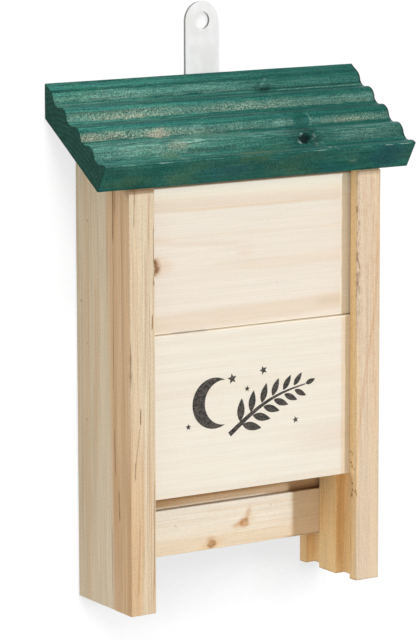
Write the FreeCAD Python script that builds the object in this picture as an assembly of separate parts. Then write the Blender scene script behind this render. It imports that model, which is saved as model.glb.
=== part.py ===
import FreeCAD, Part
import math
import os

# A wooden bat box that hangs on a wall: two grooved sides, boards slid into the
# grooves at the front and the back, a sloping grooved roof board and a steel
# hanger. Bats climb in from below, between the front and the back boards.
#
# Millimetres and degrees. +Z is up, +X is the right-hand side seen from the
# front, and the front faces -Y. The origin is under the middle of the whole
# box, at the level of the two leg ends.

# Body
BOX_WIDTH = 184.0             # over the outer faces of the two sides
SIDE_THICKNESS = 18.0
SIDE_DEPTH = 64.0             # from the front face to the back edge
BACK_HEIGHT = 301.0           # from the leg ends to the roof's underside, at the back

# Grooves down the inner face of each side
GROOVE_WIDTH = 15.0
GROOVE_DEPTH = 7.0
FRONT_LIP = 7.5               # wood in front of the front groove
BACK_LIP = 7.5                # wood behind the back groove

# Boards in the grooves
BOARD_THICKNESS = 12.5
BOARD_WIDTH = 102.0           # lower front board, across the grain
BOARD_END_GAP = 0.5           # from each board end to the groove's floor
BOARD_JOINT = 0.3             # between boards that stand edge to edge
FRONT_OPENING = 68.8          # leg ends to the lowest front board
SLAT_HEIGHT = 29.5
SLAT_BASE = 23.0              # leg ends to the slat's lower edge
SLAT_GAP = 2.2                # slat to the back board above it
BACK_STRIP_HEIGHT = 29.0      # top back board, at its front face
TOP_GAP = 0.4                 # bevelled board tops to the roof

# Roof board
ROOF_PITCH = 31.5
ROOF_LENGTH = 226.0
ROOF_THICKNESS = 19.0
ROOF_FRONT_SETBACK = 1.5      # lower front arris, behind the sides' front faces
RIDGE_PITCH = 18.8
RIDGE_RADIUS = 7.5
TROUGH_DEPTH = 3.9
FIRST_TROUGH = 18.3           # back arris to the first trough, down the slope

# Hanger strap
STRAP_WIDTH = 24.0
STRAP_THICKNESS = 2.0
STRAP_LENGTH = 64.0
STRAP_LAP = 19.8              # how far the strap reaches down the roof's back edge
STRAP_HOLE_RADIUS = 5.5
STRAP_CORNER_RADIUS = 3.0

# Countersunk screws through the strap
SCREW_RADIUS = 1.5
SCREW_HEAD_RADIUS = 3.0
SCREW_LENGTH = 12.0
SCREW_TIP = 3.0
SCREW_POINT_RADIUS = 0.2
SCREW_SPACING = 12.0
SCREW_RISE = 5.5              # strap's lower end to the screws
SCREW_CLEARANCE = 0.2
PILOT_CLEARANCE = 0.05

# Lost-head nails through the roof into the sides
NAIL_RADIUS = 1.0
NAIL_HEAD_RADIUS = 1.6
NAIL_HEAD_HEIGHT = 1.6
NAIL_LENGTH = 40.0
NAIL_TIP = 2.5
NAIL_POINT_RADIUS = 0.15
NAIL_SINK = 1.0               # punched below the trough's floor
NAIL_CLEARANCE = 0.05
NAILED_TROUGHS = (0, 2)       # counted from the back

X_AXIS = FreeCAD.Vector(1, 0, 0)
Y_AXIS = FreeCAD.Vector(0, 1, 0)
Z_AXIS = FreeCAD.Vector(0, 0, 1)

PITCH = math.radians(ROOF_PITCH)
ROOF_NORMAL = FreeCAD.Vector(0, -math.sin(PITCH), math.cos(PITCH))
DOWN_SLOPE = FreeCAD.Vector(0, -math.cos(PITCH), -math.sin(PITCH))

# The strap is the rearmost piece and the roof's upper front arris the foremost.
ROOF_OVERHANG = ROOF_THICKNESS * math.sin(PITCH) - ROOF_FRONT_SETBACK
FRONT_Y = (ROOF_OVERHANG - SIDE_DEPTH - STRAP_THICKNESS) / 2
BACK_Y = FRONT_Y + SIDE_DEPTH

HALF_INSIDE = BOX_WIDTH / 2 - SIDE_THICKNESS
FRONT_GROOVE_Y = FRONT_Y + FRONT_LIP
BACK_GROOVE_Y = BACK_Y - BACK_LIP - GROOVE_WIDTH
BOARD_LENGTH = 2 * (HALF_INSIDE + GROOVE_DEPTH - BOARD_END_GAP)

ROOF_BACK_TOP = FreeCAD.Vector(0, BACK_Y, BACK_HEIGHT + ROOF_THICKNESS / math.cos(PITCH))
ROOF_TOP_LENGTH = (SIDE_DEPTH - ROOF_FRONT_SETBACK) / math.cos(PITCH) + ROOF_THICKNESS * math.tan(PITCH)


def underside_height(y):
    """Height of the roof's underside above the leg ends, at a given y."""
    return BACK_HEIGHT - (BACK_Y - y) * math.tan(PITCH)


def on_roof(down, below):
    """Point on the middle plane, a distance down the slope and below the ridges."""
    return ROOF_BACK_TOP + DOWN_SLOPE * down - ROOF_NORMAL * below


def block(x0, x1, y0, y1, z0, z1):
    """Box between two corners."""
    return Part.makeBox(x1 - x0, y1 - y0, z1 - z0, FreeCAD.Vector(x0, y0, z0))


def cut_under_roof(shape, gap):
    """Cut a shape's top to the roof's pitch, a gap below the underside."""
    box = shape.BoundBox
    drop = gap / math.cos(PITCH)
    y0 = box.YMin - SIDE_THICKNESS
    y1 = box.YMax + SIDE_THICKNESS
    top = box.ZMax + underside_height(y1)
    corners = [
        FreeCAD.Vector(box.XMin - 1, y0, underside_height(y0) - drop),
        FreeCAD.Vector(box.XMin - 1, y1, underside_height(y1) - drop),
        FreeCAD.Vector(box.XMin - 1, y1, top),
        FreeCAD.Vector(box.XMin - 1, y0, top),
    ]
    face = Part.Face(Part.makePolygon(corners + corners[:1]))
    return shape.cut(face.extrude(X_AXIS * (box.XLength + 2)))


def round_rod(start, direction, steps):
    """Round rod turned from cylinders and cones; each step is (length, radius, end radius)."""
    rod = None
    for length, radius, end_radius in steps:
        if radius == end_radius:
            piece = Part.makeCylinder(radius, length, start, direction)
        else:
            piece = Part.makeCone(radius, end_radius, length, start, direction)
        rod = piece if rod is None else rod.fuse(piece)
        start = start + direction * length
    return rod.removeSplitter()


# Body


def side_board(outer_sign):
    """One side: the board, its two grooves and its top cut to the roof's pitch."""
    inner = outer_sign * HALF_INSIDE
    outer = outer_sign * BOX_WIDTH / 2
    floor = outer_sign * (HALF_INSIDE + GROOVE_DEPTH)
    board = block(min(inner, outer), max(inner, outer), FRONT_Y, BACK_Y, 0, BACK_HEIGHT)
    for y in (FRONT_GROOVE_Y, BACK_GROOVE_Y):
        groove = block(min(inner, floor), max(inner, floor), y, y + GROOVE_WIDTH, 0, BACK_HEIGHT)
        board = board.cut(groove)
    board = cut_under_roof(board, 0)
    for start, direction in nail_places(outer_sign):
        board = board.cut(nail_hole(start, direction))
    return board


def groove_board(front_face_y, base, height):
    """Board that lies across the box with its ends in the grooves."""
    half = BOARD_LENGTH / 2
    return block(-half, half, front_face_y, front_face_y + BOARD_THICKNESS, base, base + height)


def front_board_lower():
    """Lowest front board, pushed forward against the grooves' front lips."""
    return groove_board(FRONT_GROOVE_Y, FRONT_OPENING, BOARD_WIDTH)


def front_board_upper():
    """Upper front board, which sits at the back of its grooves, under the roof."""
    face_y = FRONT_GROOVE_Y + GROOVE_WIDTH - BOARD_THICKNESS
    base = FRONT_OPENING + BOARD_WIDTH + BOARD_JOINT
    board = groove_board(face_y, base, underside_height(face_y + BOARD_THICKNESS) - base)
    return cut_under_roof(board, TOP_GAP)


def back_slat():
    """Narrow slat low in the back grooves, where the bats land."""
    return groove_board(BACK_GROOVE_Y, SLAT_BASE, SLAT_HEIGHT)


def back_boards():
    """Three back boards at the back of their grooves: two alike, and a strip bevelled under the roof."""
    face_y = BACK_GROOVE_Y + GROOVE_WIDTH - BOARD_THICKNESS
    base = SLAT_BASE + SLAT_HEIGHT + SLAT_GAP
    strip_base = underside_height(face_y) - TOP_GAP / math.cos(PITCH) - BACK_STRIP_HEIGHT
    width = (strip_base - base) / 2 - BOARD_JOINT
    strip = groove_board(face_y, strip_base, underside_height(face_y + BOARD_THICKNESS) - strip_base)
    return {
        "back_board_lower": groove_board(face_y, base, width),
        "back_board_middle": groove_board(face_y, base + width + BOARD_JOINT, width),
        "back_board_top": cut_under_roof(strip, TOP_GAP),
    }


# Roof


def trough_places():
    """Distances down the slope from the back arris to each trough that fits whole."""
    count = int((ROOF_TOP_LENGTH - FIRST_TROUGH - RIDGE_PITCH / 2) / RIDGE_PITCH) + 1
    return [FIRST_TROUGH + RIDGE_PITCH * k for k in range(count)]


def ridge_point(centre, radius, angle, hollow):
    """Point on a ridge's or a trough's arc, an angle round from its middle."""
    across = radius * math.sin(angle)
    sagitta = radius * (1 - math.cos(angle))
    below = TROUGH_DEPTH - sagitta if hollow else sagitta
    return on_roof(centre + across, below)


def arc(centre, radius, first, last, hollow):
    """Arc of a ridge or a trough between two angles."""
    angles = (first, (first + last) / 2, last)
    points = [ridge_point(centre, radius, angle, hollow) for angle in angles]
    return Part.Arc(*points).toShape()


def roof_profile():
    """End outline of the roof board: ridges and troughs of tangent arcs, and a plumb back edge."""
    half_pitch = RIDGE_PITCH / 2
    sweep = 2 * math.atan(TROUGH_DEPTH / half_pitch)
    trough_radius = half_pitch / math.sin(sweep) - RIDGE_RADIUS
    troughs = trough_places()
    edges = [Part.LineSegment(on_roof(0, 0), on_roof(troughs[0] - half_pitch, 0)).toShape()]
    for trough in troughs:
        edges.append(arc(trough - half_pitch, RIDGE_RADIUS, 0, sweep, False))
        edges.append(arc(trough, trough_radius, -sweep, sweep, True))
        edges.append(arc(trough + half_pitch, RIDGE_RADIUS, -sweep, 0, False))
    corners = [
        on_roof(troughs[-1] + half_pitch, 0),
        on_roof(ROOF_TOP_LENGTH, 0),
        on_roof(ROOF_TOP_LENGTH, ROOF_THICKNESS),
        on_roof(ROOF_THICKNESS * math.tan(PITCH), ROOF_THICKNESS),
        on_roof(0, 0),
    ]
    for first, last in zip(corners, corners[1:]):
        edges.append(Part.LineSegment(first, last).toShape())
    return Part.Wire(edges)


def roof_board():
    """Grooved roof board with the holes for its nails and for the strap's screws."""
    profile = Part.Face(roof_profile())
    profile.translate(X_AXIS * (-ROOF_LENGTH / 2))
    board = profile.extrude(X_AXIS * ROOF_LENGTH)
    for outer_sign in (-1, 1):
        for start, direction in nail_places(outer_sign):
            board = board.cut(nail_hole(start, direction))
    for start in screw_places():
        board = board.cut(Part.makeCylinder(SCREW_RADIUS + PILOT_CLEARANCE, SCREW_LENGTH, start, -Y_AXIS))
    return board


# Nails


def nail_places(outer_sign):
    """Start and direction of one side's nails, driven plumb into the web behind its grooves."""
    web = (SIDE_THICKNESS - GROOVE_DEPTH) / 2
    x = outer_sign * (BOX_WIDTH / 2 - web)
    troughs = trough_places()
    places = []
    for index in NAILED_TROUGHS:
        if index < len(troughs):
            start = on_roof(troughs[index], TROUGH_DEPTH) + X_AXIS * x - Z_AXIS * NAIL_SINK
            places.append((start, -Z_AXIS))
    return places


def nail_hole(start, direction):
    """Hole that a nail has made, open at the top where its head was punched in."""
    above = TROUGH_DEPTH + NAIL_SINK
    head_radius = NAIL_HEAD_RADIUS + NAIL_CLEARANCE
    shank_radius = NAIL_RADIUS + NAIL_CLEARANCE
    head = Part.makeCylinder(head_radius, above + NAIL_HEAD_HEIGHT, start - direction * above, direction)
    shank = Part.makeCylinder(shank_radius, NAIL_LENGTH, start, direction)
    return head.fuse(shank)


def nail(start, direction):
    """Lost-head nail with a pointed tip."""
    shank = NAIL_LENGTH - NAIL_HEAD_HEIGHT - NAIL_TIP
    steps = [
        (NAIL_HEAD_HEIGHT, NAIL_HEAD_RADIUS, NAIL_RADIUS),
        (shank, NAIL_RADIUS, NAIL_RADIUS),
        (NAIL_TIP, NAIL_RADIUS, NAIL_POINT_RADIUS),
    ]
    return round_rod(start, direction, steps)


def roof_nails():
    """All the nails, as separate solids."""
    nails = []
    for outer_sign in (-1, 1):
        for start, direction in nail_places(outer_sign):
            nails.append(nail(start, direction))
    return Part.makeCompound(nails)


# Hanger


def strap_base():
    """Height of the strap's lower end."""
    return ROOF_BACK_TOP.z - STRAP_LAP


def screw_places():
    """Where the screws' heads start: two side by side in the strap's outer face."""
    y = BACK_Y + STRAP_THICKNESS
    z = strap_base() + SCREW_RISE
    return [FreeCAD.Vector(side * SCREW_SPACING / 2, y, z) for side in (-1, 1)]


def head_height():
    """Depth of the screw's 90 degree countersunk head."""
    return SCREW_HEAD_RADIUS - SCREW_RADIUS


def hanger_strap():
    """Flat steel strap with a full round top, a wall hole and two countersunk screw holes."""
    radius = STRAP_WIDTH / 2
    z0 = strap_base()
    top = z0 + STRAP_LENGTH
    hole_z = top - radius
    plate = block(-radius, radius, BACK_Y, BACK_Y + STRAP_THICKNESS, z0, hole_z)
    corners = [edge for edge in plate.Edges if is_lower_corner(edge, z0)]
    plate = plate.makeFillet(STRAP_CORNER_RADIUS, corners)
    back = FreeCAD.Vector(0, BACK_Y, hole_z)
    plate = plate.fuse(Part.makeCylinder(radius, STRAP_THICKNESS, back, Y_AXIS)).removeSplitter()
    plate = plate.cut(Part.makeCylinder(STRAP_HOLE_RADIUS, STRAP_THICKNESS, back, Y_AXIS))
    for start in screw_places():
        hole = Part.makeCylinder(SCREW_RADIUS + SCREW_CLEARANCE, STRAP_THICKNESS, start, -Y_AXIS)
        sink_radius = SCREW_HEAD_RADIUS + SCREW_CLEARANCE
        sink = Part.makeCone(sink_radius, SCREW_RADIUS + SCREW_CLEARANCE, head_height(), start, -Y_AXIS)
        plate = plate.cut(hole.fuse(sink))
    return plate


def is_lower_corner(edge, z0):
    """True for the plate's two lower corner edges, which run through its thickness."""
    box = edge.BoundBox
    return box.ZMax < z0 + STRAP_CORNER_RADIUS and box.YLength > STRAP_THICKNESS / 2 > box.XLength


def hanger_screws():
    """The strap's two countersunk wood screws, as separate solids."""
    shank = SCREW_LENGTH - head_height() - SCREW_TIP
    steps = [
        (head_height(), SCREW_HEAD_RADIUS, SCREW_RADIUS),
        (shank, SCREW_RADIUS, SCREW_RADIUS),
        (SCREW_TIP, SCREW_RADIUS, SCREW_POINT_RADIUS),
    ]
    return Part.makeCompound([round_rod(start, -Y_AXIS, steps) for start in screw_places()])


def build():
    """All the pieces by name."""
    parts = {
        "side_left": side_board(-1),
        "side_right": side_board(1),
        "front_board_lower": front_board_lower(),
        "front_board_upper": front_board_upper(),
        "back_slat": back_slat(),
        "roof_board": roof_board(),
        "roof_nails": roof_nails(),
        "hanger_strap": hanger_strap(),
        "hanger_screws": hanger_screws(),
    }
    parts.update(back_boards())
    return parts


os.makedirs("parts", exist_ok=True)
for node, shape in build().items():
    shape.exportStep("parts/" + node + ".step")
    print(node, len(shape.Solids), "solids", round(shape.Volume / 1000, 2), "cm3", "valid", shape.isValid())
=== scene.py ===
"""Looks of a wooden bat box that hangs on a wall.

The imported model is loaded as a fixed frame. Every wooden piece is rebuilt with
eased and worn edges, and gets a solid wood material that runs through the board.
Sizes inside this file are in millimetres, in the box's own frame: X to the right,
Y from the sides' front faces towards the wall, Z up from the leg ends.
"""

import logging
import math
from dataclasses import dataclass, field
from enum import Enum
from typing import Callable, Sequence

import bpy
import bmesh
import numpy as np
from mathutils import Matrix, Vector


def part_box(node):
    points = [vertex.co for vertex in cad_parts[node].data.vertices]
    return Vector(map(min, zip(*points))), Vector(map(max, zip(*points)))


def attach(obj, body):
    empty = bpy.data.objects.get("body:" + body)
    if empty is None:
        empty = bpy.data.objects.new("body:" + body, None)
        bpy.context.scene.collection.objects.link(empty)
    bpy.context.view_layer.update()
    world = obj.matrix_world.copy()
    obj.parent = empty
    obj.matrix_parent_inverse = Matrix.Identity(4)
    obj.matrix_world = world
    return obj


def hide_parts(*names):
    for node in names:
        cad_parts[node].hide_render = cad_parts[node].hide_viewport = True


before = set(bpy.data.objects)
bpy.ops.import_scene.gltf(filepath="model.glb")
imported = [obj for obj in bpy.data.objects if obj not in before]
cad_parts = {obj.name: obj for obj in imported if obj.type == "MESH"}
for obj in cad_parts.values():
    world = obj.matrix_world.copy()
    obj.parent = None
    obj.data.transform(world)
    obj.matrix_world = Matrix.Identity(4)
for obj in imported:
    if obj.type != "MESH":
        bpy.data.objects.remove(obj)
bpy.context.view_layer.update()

Array = np.ndarray
Point = tuple[float, float]
Colour = tuple[float, float, float, float]
Socket = bpy.types.NodeSocket
Piece = bpy.types.Object
Material = bpy.types.Material

LOG = logging.getLogger("bat_box")
MM = 0.001
BODY = "root"
FRONT_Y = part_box("side_left")[0].y / MM
ROOF_PITCH = 31.5
ROOF_SLOPE = math.tan(math.radians(ROOF_PITCH))

# Heights: the roof's underside at the front, where painted shadow lines run under it; the top
# of the painted warm shade on the lowest back board's foot and of its lit lower arris, which
# that shade leaves out; and how tall a back board without knots can be

UNDER_ROOF = 260.1
PAINTED_SHADE_TOP = 70.0
LIGHT_ARRIS = 53.6
KNOTLESS_HEIGHT = 60.0


# Sums that several pieces share


def linear(red: float, green: float, blue: float) -> Colour:
    """Turn a colour written as 0 to 255 into the linear colour that a shader takes.

    Args:
        red, green, blue: Its parts.

    Returns:
        The linear parts, and 1.
    """
    parts = np.array([red, green, blue]) / 255
    low, high = parts / 12.92, ((parts + 0.055) / 1.055) ** 2.4
    return (*np.where(parts <= 0.04045, low, high).tolist(), 1.0)


def smooth(start: float, end: float, value: Array) -> Array:
    """Rise from 0 at start to 1 at end along 3t squared minus 2t cubed."""
    t = np.clip((value - start) / (end - start), 0, 1)
    return t * t * (3 - 2 * t)


def band(value: Array, low: float, high: float, soft_low: float, soft_high: float) -> Array:
    """Be 1 between low and high, fading out over soft_low below and soft_high above."""
    return smooth(low - soft_low, low, value) * (1 - smooth(high, high + soft_high, value))


def spot(u: Array, v: Array, at: Point, radii: Point, core: float = 0.3, rim: float = 1.0,
         ragged: Array | float = 0.0) -> Array:
    """Soft ellipse. With the distance counted in radii, it is 1 up to core and 0 from rim on.

    Args:
        u: First coordinate of each vertex.
        v: Second coordinate.
        at: Centre.
        radii: Radius along each coordinate.
        core: Distance up to which it is full.
        rim: Distance at which it ends.
        ragged: What is added to the distance.

    Returns:
        One value per vertex.
    """
    distance = np.hypot((u - at[0]) / radii[0], (v - at[1]) / radii[1])
    return 1 - smooth(core, rim, distance + ragged)


def noise(points: Array, scale: Sequence[float], seed: int, octaves: int = 3) -> Array:
    """Smooth noise between about -1 and 1.

    Random values stand on a lattice and are blended along each axis by
    3t squared minus 2t cubed. Each octave has half the size and half the height
    of the one before.

    Args:
        points: Positions in millimetres, one row each.
        scale: Size in millimetres of the largest lumps along X, Y and Z.
        seed: Picks the lattice's values.
        octaves: Number of sizes that are added up.

    Returns:
        One value per point.
    """
    table = np.random.default_rng(seed).uniform(-1, 1, (64, 64, 64))
    total, height, weight = np.zeros(len(points)), 1.0, 0.0
    at = points / np.array(scale, float) + seed * 0.37
    for _ in range(octaves):
        cell = np.floor(at).astype(int)
        t = at - cell
        t = t * t * (3 - 2 * t)
        value = np.zeros(len(points))
        for corner in range(8):
            step = np.array([corner & 1, corner >> 1 & 1, corner >> 2 & 1])
            share = np.prod(np.where(step == 1, t, 1 - t), axis=1)
            i, j, k = ((cell + step) % 64).T
            value += share * table[i, j, k]
        total += height * value
        weight += height
        height, at = height / 2, at * 2 + 11.3
    return total / weight * 1.6


def eased_outline(corners: Sequence[Point], radii: Sequence[float], steps: Sequence[float],
                  arc_steps: int = 4) -> Array:
    """Closed outline, run anticlockwise, with a small arc at each corner.

    An arc of radius r at a corner that turns by an angle a starts r tan(a/2)
    before the corner. Straight runs are split into equal parts of about steps.

    Args:
        corners: Corner points, anticlockwise.
        radii: Radius at each corner.
        steps: Length of the parts of the straight run after each corner.
        arc_steps: Number of parts in each arc.

    Returns:
        The outline's points, one row each.
    """
    pts = np.array(corners, float)
    before = pts - np.roll(pts, 1, axis=0)
    before /= np.linalg.norm(before, axis=1)[:, None]
    after = np.roll(before, -1, axis=0)
    cross = before[:, 0] * after[:, 1] - before[:, 1] * after[:, 0]
    turn = np.arctan2(cross, (before * after).sum(1))
    cut = np.array(radii)[:, None] * np.tan(np.abs(turn) / 2)[:, None] * before
    starts = np.roll(pts - cut, -1, axis=0)
    runs = []
    for i, point in enumerate(pts):
        left = np.array([-before[i, 1], before[i, 0]]) * np.sign(turn[i])
        a = np.linspace(0, abs(turn[i]), arc_steps + 1)[:, None]
        arc = point - cut[i] + radii[i] * (np.sin(a) * before[i] + (1 - np.cos(a)) * left)
        gap = starts[i] - arc[-1]
        parts = max(1, int(round(np.linalg.norm(gap) / steps[i])))
        along = np.linspace(0, 1, parts + 1)[1:-1, None]
        runs += [arc, arc[-1] + along * gap]
    return np.vstack(runs)


def outline_normals(outline: Array) -> Array:
    """Outward unit normals of an outline, square to the line between each point's neighbours.

    Args:
        outline: Its points, anticlockwise.

    Returns:
        One normal per point.
    """
    tangent = np.roll(outline, -1, axis=0) - np.roll(outline, 1, axis=0)
    normal = np.stack([tangent[:, 1], -tangent[:, 0]], axis=1)
    return normal / np.linalg.norm(normal, axis=1)[:, None]


@dataclass
class Skin:
    """What is known at each vertex while a piece's surface is worked.

    Attributes:
        points: Positions in millimetres in the box's frame.
        normals: Outward unit normals.
        depth: How far each vertex goes inwards, in millimetres.
        paint: Values between 0 and 1 that the material reads, by attribute name.
    """

    points: Array
    normals: Array
    depth: Array = field(init=False)
    paint: dict[str, Array] = field(default_factory=dict)

    def __post_init__(self) -> None:
        """Start with an untouched surface."""
        self.depth = np.zeros(len(self.points))

    def add(self, name: str, amount: Array) -> None:
        """Raise a painted value by amount, and keep it between 0 and 1."""
        old = self.paint.get(name, np.zeros(len(self.points)))
        self.paint[name] = np.clip(old + amount, 0, 1)

    def sink(self, amount: Array) -> None:
        """Push the surface inwards by amount, in millimetres."""
        self.depth = self.depth + np.maximum(amount, 0)


Work = Callable[[Skin], None]


def make_mesh(name: str, points: Array, faces: Sequence[Sequence[int]],
              smooth_faces: Sequence[bool]) -> Piece:
    """Make an object from points in the box's frame.

    Args:
        name: Name of the piece.
        points: Positions in millimetres.
        faces: Vertex numbers of each face, seen anticlockwise from outside.
        smooth_faces: True for each face that is shaded smooth.

    Returns:
        The object, at the origin, with its place in its mesh.
    """
    mesh = bpy.data.meshes.new(name)
    placed = (points + np.array([0, FRONT_Y, 0])) * MM
    mesh.from_pydata(placed.tolist(), [], [list(f) for f in faces])
    mesh.polygons.foreach_set("use_smooth", np.asarray(smooth_faces, bool))
    mesh.update()
    piece = bpy.data.objects.new(name, mesh)
    bpy.context.scene.collection.objects.link(piece)
    return piece


def store_paint(piece: Piece, paint: dict[str, Array]) -> None:
    """Keep the painted values on the mesh as point attributes.

    Args:
        piece: The piece.
        paint: Values by attribute name.
    """
    for name, values in paint.items():
        layer = piece.data.attributes.new(name, "FLOAT", "POINT")
        layer.data.foreach_set("value", values.astype(np.float32))


@dataclass
class Loft:
    """A closed outline carried along a straight line, with eased ends.

    Attributes:
        outline: Points across the board, anticlockwise seen from the end that the line runs to.
        stations: Places along the line, from 0 to 1.
        place: Maps outline coordinates and the place along to positions.
        length: Length of the line in millimetres.
        end_radius: Radius of the ease at both ends.
        end_steps: Number of parts of that ease.
        end_hold: How much of the wear is held back where the ease is deepest.
    """

    outline: Array
    stations: Array
    place: Callable[[Array, Array, Array], Array]
    length: float
    end_radius: float = 0.6
    end_steps: int = 3
    end_hold: float = 0.6

    def rings(self) -> tuple[Array, Array]:
        """Place along and inset of each ring: r(1 - cos) along, r(1 - sin) in, over a quarter turn.

        Returns:
            The places and the insets.
        """
        turn = np.linspace(0, math.pi / 2, self.end_steps + 1)
        along = self.end_radius * (1 - np.cos(turn)) / self.length
        inset = self.end_radius * (1 - np.sin(turn))
        middle = self.stations[(self.stations > along[-1]) & (self.stations < 1 - along[-1])]
        places = np.concatenate([along, middle, 1 - along[::-1]])
        insets = np.concatenate([inset, np.zeros(len(middle)), inset[::-1]])
        return places, insets

    def build(self, name: str, work: Work) -> Piece:
        """Make the piece and work its surface.

        Args:
            name: Name of the piece.
            work: Function that sinks and paints the surface.

        Returns:
            The finished object.
        """
        places, insets = self.rings()
        across = outline_normals(self.outline)
        count, rows = len(self.outline), len(places)
        ring = self.outline[None] - across[None] * insets[:, None, None]
        along = np.repeat(places, count)
        flat = ring.reshape(-1, 2)
        points = self.place(flat[:, 0], flat[:, 1], along)
        tips = self.place(*(flat + np.tile(across, (rows, 1)) * 0.01).T, along)
        normals = tips - points
        normals /= np.linalg.norm(normals, axis=1)[:, None]
        skin = Skin(points, normals)
        work(skin)
        held = 1 - np.repeat(insets / self.end_radius, count) * self.end_hold
        points = points - normals * (skin.depth * held)[:, None]
        number = np.arange(rows * count).reshape(rows, count)
        after = np.roll(number, -1, axis=1)
        quads = np.stack([number[:-1], after[:-1], after[1:], number[1:]], axis=-1).reshape(-1, 4)
        faces = quads.tolist() + [number[0][::-1].tolist(), number[-1].tolist()]
        piece = make_mesh(name, points, faces, [True] * len(quads) + [False, False])
        store_paint(piece, skin.paint)
        return piece


# Materials


class Grain(Enum):
    """Direction of a board's grain."""

    X = "x"
    Z = "z"


class Shader:
    """Short calls that add nodes to one material or to the world."""

    def __init__(self, name: str, world: bool = False) -> None:
        """Start an empty node tree.

        Args:
            name: Name of the material or the world.
            world: True for a world.
        """
        self.owner = (bpy.data.worlds if world else bpy.data.materials).new(name)
        self.owner.use_nodes = True
        self.tree = self.owner.node_tree
        self.tree.nodes.clear()

    def feed(self, socket: Socket, value: object) -> None:
        """Link value to a socket if it is a socket, and set it otherwise.

        Args:
            socket: Input of a node.
            value: A socket to link, a constant to set, or None to leave it.
        """
        if isinstance(value, Socket):
            self.tree.links.new(value, socket)
        elif value is not None:
            socket.default_value = value

    def node(self, kind: str, *values: object, **settings: object) -> bpy.types.Node:
        """Add a node.

        Args:
            kind: Its type, without "ShaderNode".
            values: What its first sockets get. None leaves one as it is.
            settings: Properties that are set before that.

        Returns:
            The node.
        """
        made = self.tree.nodes.new("ShaderNode" + kind)
        for key, value in settings.items():
            setattr(made, key, value)
        for socket, value in zip(made.inputs, values):
            self.feed(socket, value)
        return made

    def math(self, operation: str, *values: object, clamp: bool = False) -> Socket:
        """Work out one sum."""
        return self.node("Math", *values, operation=operation, use_clamp=clamp).outputs[0]

    def vector(self, operation: str, *values: object) -> bpy.types.Node:
        """Work out one vector sum, and give the node."""
        return self.node("VectorMath", *values, operation=operation)

    def here(self, scale: Sequence[float] = (1, 1, 1), offset: Sequence[float] = (0, 0, 0)) -> Socket:
        """Object coordinates in millimetres, times scale, plus offset.

        Args:
            scale: Factors along X, Y and Z.
            offset: What is added after that.

        Returns:
            The socket that carries them.
        """
        mapped = self.node("Mapping", self.node("TexCoord").outputs["Object"])
        mapped.inputs["Scale"].default_value = [s / MM for s in scale]
        mapped.inputs["Location"].default_value = list(offset)
        return mapped.outputs[0]

    def noise(self, scale: Sequence[float], offset: Sequence[float] = (0, 0, 0),
              detail: float = 3.0, rough: float = 0.5) -> Socket:
        """Noise between 0 and 1 over the piece.

        Args:
            scale: Lumps per millimetre along X, Y and Z.
            offset: Moves the noise.
            detail: Number of finer layers.
            rough: Strength of the finer layers.

        Returns:
            The socket that carries it.
        """
        made = self.node("TexNoise", self.here(scale, offset))
        made.inputs["Scale"].default_value = 1.0
        made.inputs["Detail"].default_value = detail
        made.inputs["Roughness"].default_value = rough
        return made.outputs["Fac"]

    def span(self, value: object, low: float, high: float,
             to_low: float = 0.0, to_high: float = 1.0) -> Socket:
        """Carry value smoothly from one span of numbers to another."""
        made = self.node("MapRange", value, low, high, to_low, to_high, interpolation_type="SMOOTHSTEP")
        return made.outputs[0]

    def mix(self, share: object, a: object, b: object) -> Socket:
        """Mix two colours. A Mix node has its colour sockets behind those for numbers and vectors.

        Args:
            share: Share of b.
            a: First colour.
            b: Second colour.

        Returns:
            The mixed colour.
        """
        made = self.node("Mix", share, data_type="RGBA")
        self.feed(made.inputs[6], a)
        self.feed(made.inputs[7], b)
        return made.outputs[2]

    def over(self, colour: Socket, tint: Sequence[float], value: object, low: float, high: float,
             most: float = 1.0, least: float = 0.0, mask: object = None) -> Socket:
        """Lay a tint over a colour.

        Args:
            colour: What lies below.
            tint: The tint, as 0 to 255.
            value: What says how strong it is.
            low: Value at which it has the share least.
            high: Value at which it has the share most.
            most: Share at high.
            least: Share at low.
            mask: What the share is multiplied by, if anything.

        Returns:
            The colour with the tint on it.
        """
        share = self.span(value, low, high, least, most)
        if mask is not None:
            share = self.math("MULTIPLY", mask, share, clamp=True)
        return self.mix(share, colour, linear(*tint))

    def painted(self, name: str) -> Socket:
        """Value that the piece's mesh holds under that name."""
        return self.node("Attribute", attribute_name=name).outputs["Fac"]

    def facing(self, axis: int) -> Socket:
        """How squarely the surface faces along an axis, between 0 and 1."""
        split = self.node("SeparateXYZ", self.node("TexCoord").outputs["Normal"])
        return self.math("ABSOLUTE", split.outputs[axis])

    def seen(self) -> Socket:
        """1 for rays from the camera, from reflections and through glass, and 0 for the rest.

        Returns:
            The socket that carries it.
        """
        path = self.node("LightPath").outputs
        mirrored = self.math("MAXIMUM", path["Is Glossy Ray"], path["Is Transmission Ray"])
        return self.math("MAXIMUM", path["Is Camera Ray"], mirrored)

    def bump(self, height: object, distance_mm: float, strength: float = 1.0) -> Socket:
        """Normal that is tilted by a height of up to distance_mm.

        Args:
            height: Height between 0 and 1.
            distance_mm: Height in millimetres at 1.
            strength: Share of the tilt.

        Returns:
            The normal.
        """
        made = self.node("Bump", strength, distance_mm * MM)
        self.feed(made.inputs["Height"], height)
        return made.outputs[0]

    def surface(self, colour: object, roughness: object, normal: object = None,
                metallic: float = 0.0, specular: float = 0.5) -> Material:
        """Finish the material with one Principled shader.

        Args:
            colour: Its base colour.
            roughness: Its roughness.
            normal: A bumped normal, if any.
            metallic: 1 for metal, else 0.
            specular: Strength of the plain reflection.

        Returns:
            The material.
        """
        shader = self.node("BsdfPrincipled")
        self.feed(shader.inputs["Base Color"], colour)
        self.feed(shader.inputs["Roughness"], roughness)
        self.feed(shader.inputs["Normal"], normal)
        shader.inputs["Metallic"].default_value = metallic
        shader.inputs["Specular IOR Level"].default_value = specular
        self.node("OutputMaterial", shader.outputs[0])
        return self.owner


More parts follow.
